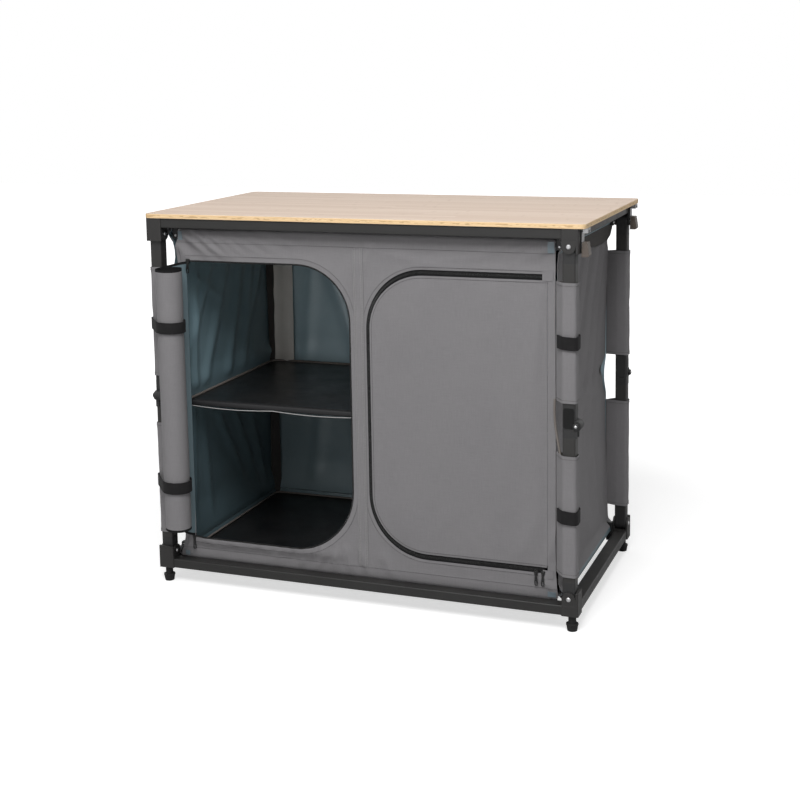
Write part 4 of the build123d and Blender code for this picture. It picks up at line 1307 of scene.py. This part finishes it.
def buildRoll():
    width, low, high = wraps["rollWidth"], doors["left"]["low"] + 2, doors["left"]["high"] - 2
    door = {"hinge": 0.0, "free": width, "low": low, "high": high, "corners": (105.0, 105.0)}
    edges = [doorLine(door, -wraps[part]) for part in ("tape", "innerShade")]
    for edge in edges:
        edge[0, 0] = edge[-1, 0] = 0.6
    flat, faces = cutSheet(doorLine(door), [], 5.0, edges)
    t, z = flat[:, 0], flat[:, 1]
    plan, rolled, angle = rollPlace(t)
    middle = (low + high) / 2
    tall = (wraps["rollHigh"] - wraps["rollLow"]) / (high - low)
    shift = (wraps["rollHigh"] + wraps["rollLow"]) / 2 - middle
    share = smooth01(t / 70.0)
    z = middle + (z - middle) * (1 + (tall - 1) * share) + shift * share + rolled * 0.4 * np.sin(angle * 2)
    centre = np.array([wraps["rollX"], wraps["rollY"]])
    outward = (plan - centre) / np.linalg.norm(plan - centre, axis=1)[:, None]
    pinch = strapped(z, ("rollStrapUpper", "rollStrapLower"), 26.0)
    bulge = rolled * (0.9 * ripple(angle * 30, z, 160, 61) - wraps["pinch"] * pinch)
    plan = plan + outward * bulge[:, None]
    plan[:, 0] += leanAt(z) * np.clip(t / 30.0, 0, 1)
    centres = flat[faces].mean(axis=1)
    inks = (~insideLoop(centres, edges[0])).astype(int)
    inks[(inks == 0) & ~insideLoop(centres, edges[1]) & (centres[:, 0] > 40.0)] = 2  # painted shade: black inside the roll's hollow near its ends
    # the last slot paints shade: black zip tape on the inner side near the roll's ends
    cloth, lining, tape = paint["cloth_grey"], paint["cloth_lining"], paint["zip_black"]
    points = np.concatenate([plan, z[:, None]], axis=1)
    piece = makePiece("doorLeftRoll", points, faces, [cloth, tape, cloth, lining, tape, tape], flat, inks)
    faceAway(piece, (*centre, middle))
    return thicken(piece, cover["cloth"])


roll = dress(buildRoll(), "cloth_grey", replaced="door_left_roll")
print("rolled door")


# Zip sliders with their pulls
sliderLook = {
    "bodyWidth": 9.0, "bodyHeight": 12.5, "bodyDepth": 4.6, "round": 2.0, "tipRound": 2.4,
    "bridge": (3.4, -3.0), "bridgeRound": 1.5, "bridgeRise": 1.6, "bridgeDepth": 1.8,
    "pullWidth": 7.0, "pullLength": 24.0, "pullDepth": 1.5, "pullRise": 1.4, "neckRound": 1.9,
}


def plate(name, outline, holes, front, depth, material, cell=1.6, corner=None):
    flat, faces = cutSheet(np.array(outline), [np.array(h) for h in holes], cell)
    points = np.stack([flat[:, 0], np.full(len(flat), front), flat[:, 1]], axis=1)
    behind = np.array([[flat[:, 0].mean(), front + 50, flat[:, 1].mean()]])
    if corner:  # drawn on the leg's own axes
        points, behind = atLeg(points, corner), atLeg(behind, corner)
    piece = makePiece(name, points, faces, [material], flat)
    faceAway(piece, behind[0])
    return thicken(piece, depth, sharp=35)


def zipSlider(name, x, z, lean=0.0):
    look = sliderLook
    half, tall, tip = look["bodyWidth"] / 2, look["bodyHeight"] / 2, look["pullWidth"] / 2
    r, tipRound, neck = look["round"], look["tipRound"], look["neckRound"]
    face = -unit["frontY"] - look["bodyDepth"] - 0.3
    end = z - 1.0 - look["pullLength"] + tip  # middle of the pull's round end

    def leaning(points):
        return [(px + lean * (z - pz), pz) for px, pz in points]

    shield = hullOf(circle(x - half + r, z + tall - r, r) + circle(x + half - r, z + tall - r, r)
                    + circle(x, z - tall + tipRound, tipRound))
    bridge = hullOf([spot for rise in look["bridge"] for spot in circle(x, z + rise, look["bridgeRound"])])
    tab = leaning(hullOf(circle(x, z - 1.5, neck) + circle(x, end + 5, tip) + circle(x, end, tip, 18)))
    slot = leaning(hullOf(circle(x, end + 4.5, 1.7) + circle(x, end, neck)))
    eye = leaning(circle(x, z - 3.2, 1.0, 10))
    return joinPieces(name, [
        plate("body", shield, [], face, look["bodyDepth"], toothBlack),
        plate("bridge", bridge, [], face - look["bridgeRise"], look["bridgeDepth"], toothBlack),
        plate("pull", tab, [slot, eye], face - look["pullRise"], look["pullDepth"], toothBlack)])


dress(zipSlider("zipSliderMoving", 380.0, 105.5, 0.04), "slider_black", "zip_slider", "zip_slider")
parked = joinPieces("zipSlidersParked", [
    zipSlider("sliderA", 395.0, 105.5, -0.03), zipSlider("sliderB", -389.0, 715.0),
    zipSlider("sliderC", -397.0, 99.0, 0.05)])
dress(parked, "slider_black", replaced="zip_sliders_parked")
print("sliders")


# Stitch rows and bound seams
stitchLook = {"Pitch": 0.0034, "Stitch Length": 0.0024, "Thread Radius": 0.0004}


def stitchRow(line, back=-0.25):
    return onFront(spread(line, 6.0), back)


hemRows = [stitchRow([(edgeAt(cover["leftEdge"], z) + 2, z), (edgeAt(cover["rightEdge"], z) - 2, z)])
           for z in (cover["hemTop"], cover["hemBottom"])]
edgeRow = stitchRow([(edgeAt(cover["leftEdge"], z) + 9, z) for z in range(80, 756, 20)])
zipRows = [stitchRow(doorLine(door, 11.5)) for door in doors.values()]
seamRows = [stitchRow([(x, 78), (x, 755)], -1.15) for x in (-4.5, -1.5, 10.5, 13.5)]
doorRow = doorLine(doors["right"], -7.5, 4.0, -11.0)
doorRow = onFront(doorRow, -0.3 - doorLift(doorRow[:, 0], doorRow[:, 1]))
for name, rows, thread, body in (
        ("stitchesFront", hemRows + [edgeRow] + zipRows, threadDark, "base"),
        ("stitchesCentre", seamRows, threadGrey, "base"),
        ("stitchesSleeves", sleeveRows, threadDark, "base"),
        ("stitchesDoor", [doorRow], threadDark, "door_right")):
    dress(growOn(name, rows, "stitch", stitchLook | {"Material": thread}), "cloth_grey", body)

bindings = [spread([(x * 416, y * 225, 70), (x * 412, y * 221, 240), (x * 408, y * 217, 421),
                    (x * 412, y * 221, 600), (x * 417, y * 226, 770)], 20)
            for x, y in ((-1, 1), (1, -1), (1, 1))]
bindings.append(spread([(-412, -218, 69), (-412, 218, 69), (0, 220, 69)], 20))
bindings.append(spread([(8, 220, 69), (412, 218, 69), (412, -218, 69)], 20))
bindings.append(spread([(419, -234, 468), (418.5, -234.5, 440), (421, -235.5, 410), (426, -238, 385),
                        (432, -242, 358)], 12))
dress(growOn("boundSeams", bindings, "piping", {"Radius": 0.0024, "Material": pipingBrown}), "cloth_lining")
print("stitches and bound seams")


# Small pieces sewn on the front: centre strip, zip ends, lining turned out at the hem ends

def patch(name, low, high, lift, material, slot):
    wide, tall = high[0] - low[0], high[1] - low[1]

    def shape(u, v):
        x, z = low[0] + u * wide, low[1] + v * tall
        return np.stack([x, frontY(x, z) - lift, z], axis=1)

    across, up = max(2, int(wide / 5)), max(2, int(tall / 6))
    piece = dress(gridSheet(name, shape, across, up, (wide, tall), [material], 0.7), slot)


sewn = {  # low corner, high corner, lift and cloth of each patch
    "centreStrip": ((-7.0, 79.0), (16.0, 754.0), 0.9, paint["cloth_grey"], "cloth_grey"),
    "zipEndTop": ((394.0, 703.0), (416.0, 724.0), 1.0, paint["cloth_grey"], "cloth_grey"),
    "zipEndBottom": ((394.0, 96.0), (416.0, 114.0), 1.0, paint["cloth_grey"], "cloth_grey"),
    "hemEndTopRight": ((406.0, 758.0), (419.0, 781.0), 1.0, liningEdge, "cloth_lining"),
    "hemEndTopLeft": ((-411.0, 762.0), (-400.5, 781.0), 1.0, liningEdge, "cloth_lining"),
    "hemEndBottomRight": ((404.0, 59.0), (421.0, 70.0), 1.4, liningEdge, "cloth_lining"),
    "hemEndBottomLeft": ((-421.0, 57.5), (-410.5, 68.5), 1.4, liningEdge, "cloth_lining"),
}
for name, look in sewn.items():
    patch(name, *look)

# The slack top hem of the right wall, open towards the rail: a dark sheet of painted shade stands for the
# hem's shaded underside
slack = {"high": 784.0, "low": [(-78, 770), (-40, 754), (6, 739.5), (70, 732), (140, 730.5), (190, 734),
                                (219, 742), (228, 762)]}
slackLow = [(434.6 - 4.0 * smooth01((770 - z) / 40.0), y, z) for y, z in slack["low"]]
slackHigh = [(436.4, y, slack["high"]) for y, z in slack["low"]]
strip("slackHemShade", slackLow, slackHigh, "cloth_grey", "top_rods", [clothShade], away=(0, 0, 700))
slackLook = {"Radius": 0.0013, "Material": threadDark}
dress(growOn("slackHemEdge", [spread(slackLow, 8.0)], "piping", slackLook), "cloth_grey")
print("sewn patches and slack hem")


# Knees: a black moulded insert on each upper fitting and a bright rivet in each knob
knee = {"halfWidth": 11.0, "low": 415.5, "high": 457.0, "round": 2.0, "face": 13.25, "depth": 0.9,
        "pinX": 14.5, "knobFace": 17.6, "rivet": 3.3, "dome": 1.7}


def atLeg(points, corner):
    turn = math.radians(legTurns[corner])
    x = points[:, 0] * math.cos(turn) - points[:, 1] * math.sin(turn) + legs[corner][0]
    y = points[:, 0] * math.sin(turn) + points[:, 1] * math.cos(turn) + legs[corner][1]
    return np.stack([x, y, points[:, 2]], axis=1)


def rivetDome(name, corner):
    points, faces = [], []
    rings, around = 5, 20
    for k in range(rings):
        bend = k / rings * math.pi / 2
        y = -knee["knobFace"] + 0.05 - knee["dome"] * math.sin(bend)
        ring = circle(knee["pinX"], unit["kneeZ"], knee["rivet"] * math.cos(bend), around)
        points += [(x, y, z) for x, z in ring]
    points.append((knee["pinX"], -knee["knobFace"] - knee["dome"], unit["kneeZ"]))
    for k in range(rings):
        for j in range(around):
            a, b = k * around + j, k * around + (j + 1) % around
            faces.append((a, b, rings * around) if k == rings - 1 else (a, b, b + around, a + around))
    faces.append(tuple(range(around))[::-1])
    return makePiece(name, atLeg(np.array(points), corner), faces, [paint["rivet_steel"]])


for corner in legs:
    half, low, high = (knee[part] for part in ("halfWidth", "low", "high"))
    r = knee["round"]
    outline = hullOf([spot for x in (-half + r, half - r) for z in (low + r, high - r)
                      for spot in circle(x, z, r, 12)])
    insert = plate("kneeInsert_" + legNames[corner], outline, [], -knee["face"], knee["depth"], kneeBlack,
                   6.0, corner)
    dress(insert, "holder_plastic", "upper_leg_" + legNames[corner], soft=False)
    rivet = rivetDome("kneeRivet_" + legNames[corner], corner)
    dress(rivet, "rivet_steel", bodyOf["knee_pin_" + legNames[corner]], soft=False)
print("knee inserts and rivets")


# Shelf trims ride on the shelves
trimLook = {"pipe": {"Radius": 0.0009, "Material": threadGrey},
            "seam": {"Radius": 0.003, "Material": pipingBrown}}
shelves = (("left", -413.0, 2.0, -410.5, 2.0), ("right", 6.0, 413.0, 410.5, 6.0))
for side, left, right, wall, inner in shelves:  # ends in X, the wall's side and the divider's side
    half = left + (right - left) * 0.5
    sag = [(left + 4, -220.8, 395.5)]
    for start, end in ((left + 6, half), (half, right - 4)):
        sag += [(x, -221.0, 395.4 - 4.0 * math.sin((x - start) / (end - start) * math.pi))
                for x in np.linspace(start, end, 14)]
    seam = spread([(wall, -217, 407), (wall, 217, 407), (inner, 218.5, 407)], 30)
    trim = joinPieces("shelfTrim_" + side, [
        growOn("pipe", [np.array(sag)], "piping", trimLook["pipe"]),
        growOn("seam", [seam], "piping", trimLook["seam"])])
    dress(trim, "cloth_lining", "shelf_" + side, soft=False)

    def bandShape(u, v, left=left, right=right):
        turn = v * math.pi
        y = -219.0 - 2.6 * np.sin(turn)
        z = 401.0 - 5.6 * np.cos(turn)
        back = np.where((v < 0.02) | (v > 0.98), 12.0, 0.0)  # the band laps over the board
        return np.stack([left + u * (right - left), y + back, z], axis=1)

    edge = gridSheet("shelfFrontBand_" + side, bandShape, 40, 14, (right - left, 40), [clothBlack], 0.8,
                     (0, 0, 401))
    dress(edge, "cloth_lining", "shelf_" + side, soft=False)
print("shelf trims")


# Screws that hold the rod holders on the rails
screwLook = {"Head Radius": 0.003, "Head Height": 0.0016, "Material": paint["rivet_steel"]}
screws = {  # two places, and the way the heads face
    "screwsTopFront": ([(-419.0, -230.8, 770.5), (428.0, -230.8, 770.5)], (0, -1, 0)),
    "screwsTopRight": ([(441.8, -209.0, 771.0), (441.8, 209.0, 771.0)], (1, 0, 0)),
    "screwsTopLeft": ([(-441.8, -209.0, 771.0), (-441.8, 209.0, 771.0)], (-1, 0, 0)),
}
for name, (spots, facing) in screws.items():
    heads = growOn(name, [np.array(spots)], "screw", screwLook | {"Facing": facing})
    dress(heads, "rivet_steel", "top_frame", soft=False)
print("screws")


# Camera, floor and light
view = {"x": 1093.3, "y": -2888.2, "z": 1127.2, "lens": 63.505, "sensor": 36.0, "shiftY": -0.1762,
        "yaw": 20.565, "pitch": 7.847, "roll": -0.941}
stageLook = {"floorColour": 0.6, "rough": 0.9, "lift": 0.62, "near": 0.9, "far": 2.2, "reach": 9.0,
             "fill": 0.31}
white = (1, 1, 1, 1)


def buildCamera():
    data = bpy.data.cameras.new("camera")
    camera = addObject("camera", data)
    data.lens, data.sensor_width, data.shift_y = view["lens"], view["sensor"], view["shiftY"]
    data.clip_start, data.clip_end = 0.05, 60.0
    yaw, pitch, tilt = (math.radians(view[k]) for k in ("yaw", "pitch", "roll"))
    ahead = Vector((-math.sin(yaw) * math.cos(pitch), math.cos(yaw) * math.cos(pitch), -math.sin(pitch)))
    right = Vector((math.cos(yaw), math.sin(yaw), 0.0))
    up = right.cross(ahead)
    across = right * math.cos(tilt) + up * math.sin(tilt)
    above = up * math.cos(tilt) - right * math.sin(tilt)
    turned = Matrix((across, above, -ahead)).transposed().to_4x4()
    turned.translation = Vector(place([(view["x"], view["y"], view["z"])])[0])
    camera.matrix_world = turned
    bpy.context.scene.camera = camera


def buildFloor():
    reach, shade = stageLook["reach"], stageLook["floorColour"]
    mesh = bpy.data.meshes.new("floor")
    corners = [(-reach, -reach, 0), (reach, -reach, 0), (reach, reach, 0), (-reach, reach, 0)]
    mesh.from_pydata(corners, [], [(0, 1, 2, 3)])
    material, w, shader = startMaterial("pale floor")
    path = w.node("ShaderNodeLightPath").outputs
    seen = w.maths("MAXIMUM", path["Is Camera Ray"], path["Is Transmission Ray"])
    away = w.remap(w.vector("LENGTH", w.spot()), stageLook["near"], stageLook["far"], stageLook["lift"], 1.0)
    w.fill(shader, {"Base Color": (shade, shade, shade, 1), "Roughness": stageLook["rough"],
                    "Emission Color": white, "Emission Strength": w.times(seen, away)})
    mesh.materials.append(material)
    addObject("floor", mesh)


def buildWorld():
    world = bpy.data.worlds.new("studio")
    bpy.context.scene.world = world
    world.use_nodes = True
    tree = world.node_tree
    tree.nodes.clear()
    w = Wires(tree)
    path = w.node("ShaderNodeLightPath").outputs
    mirrored = w.maths("MAXIMUM", path["Is Glossy Ray"], path["Is Transmission Ray"])
    seen = w.maths("MAXIMUM", path["Is Camera Ray"], mirrored)
    soft, bright = (w.node("ShaderNodeBackground", {"Color": white, "Strength": strength}).outputs[0]
                    for strength in (stageLook["fill"], 1.0))
    both = w.node("ShaderNodeMixShader", {0: seen, 1: soft, 2: bright})
    w.node("ShaderNodeOutputWorld", {0: both.outputs[0]})


buildCamera()
buildFloor()
buildWorld()
lamps = {  # place, size and power of each soft box
    "key": {"at": (450, -2100, 3000), "size": 1.5, "power": 88.0},
    "front": {"at": (-300, -3200, 1200), "size": 1.6, "power": 9.0},
    "overhead": {"at": (-100, 700, 2700), "size": 4.2, "power": 5.0},
}
aim = Vector(place([(0, 0, 420)])[0])
for name, look in lamps.items():
    data = bpy.data.lights.new(name, "AREA")
    data.shape, data.size, data.energy = "SQUARE", look["size"], look["power"]
    spot = Vector(place([look["at"]])[0])
    turned = (aim - spot).to_track_quat("-Z", "Y").to_matrix().to_4x4()
    addObject(name, data).matrix_world = Matrix.Translation(spot) @ turned
bpy.context.scene.view_settings.view_transform = "Standard"
print("camera and light")
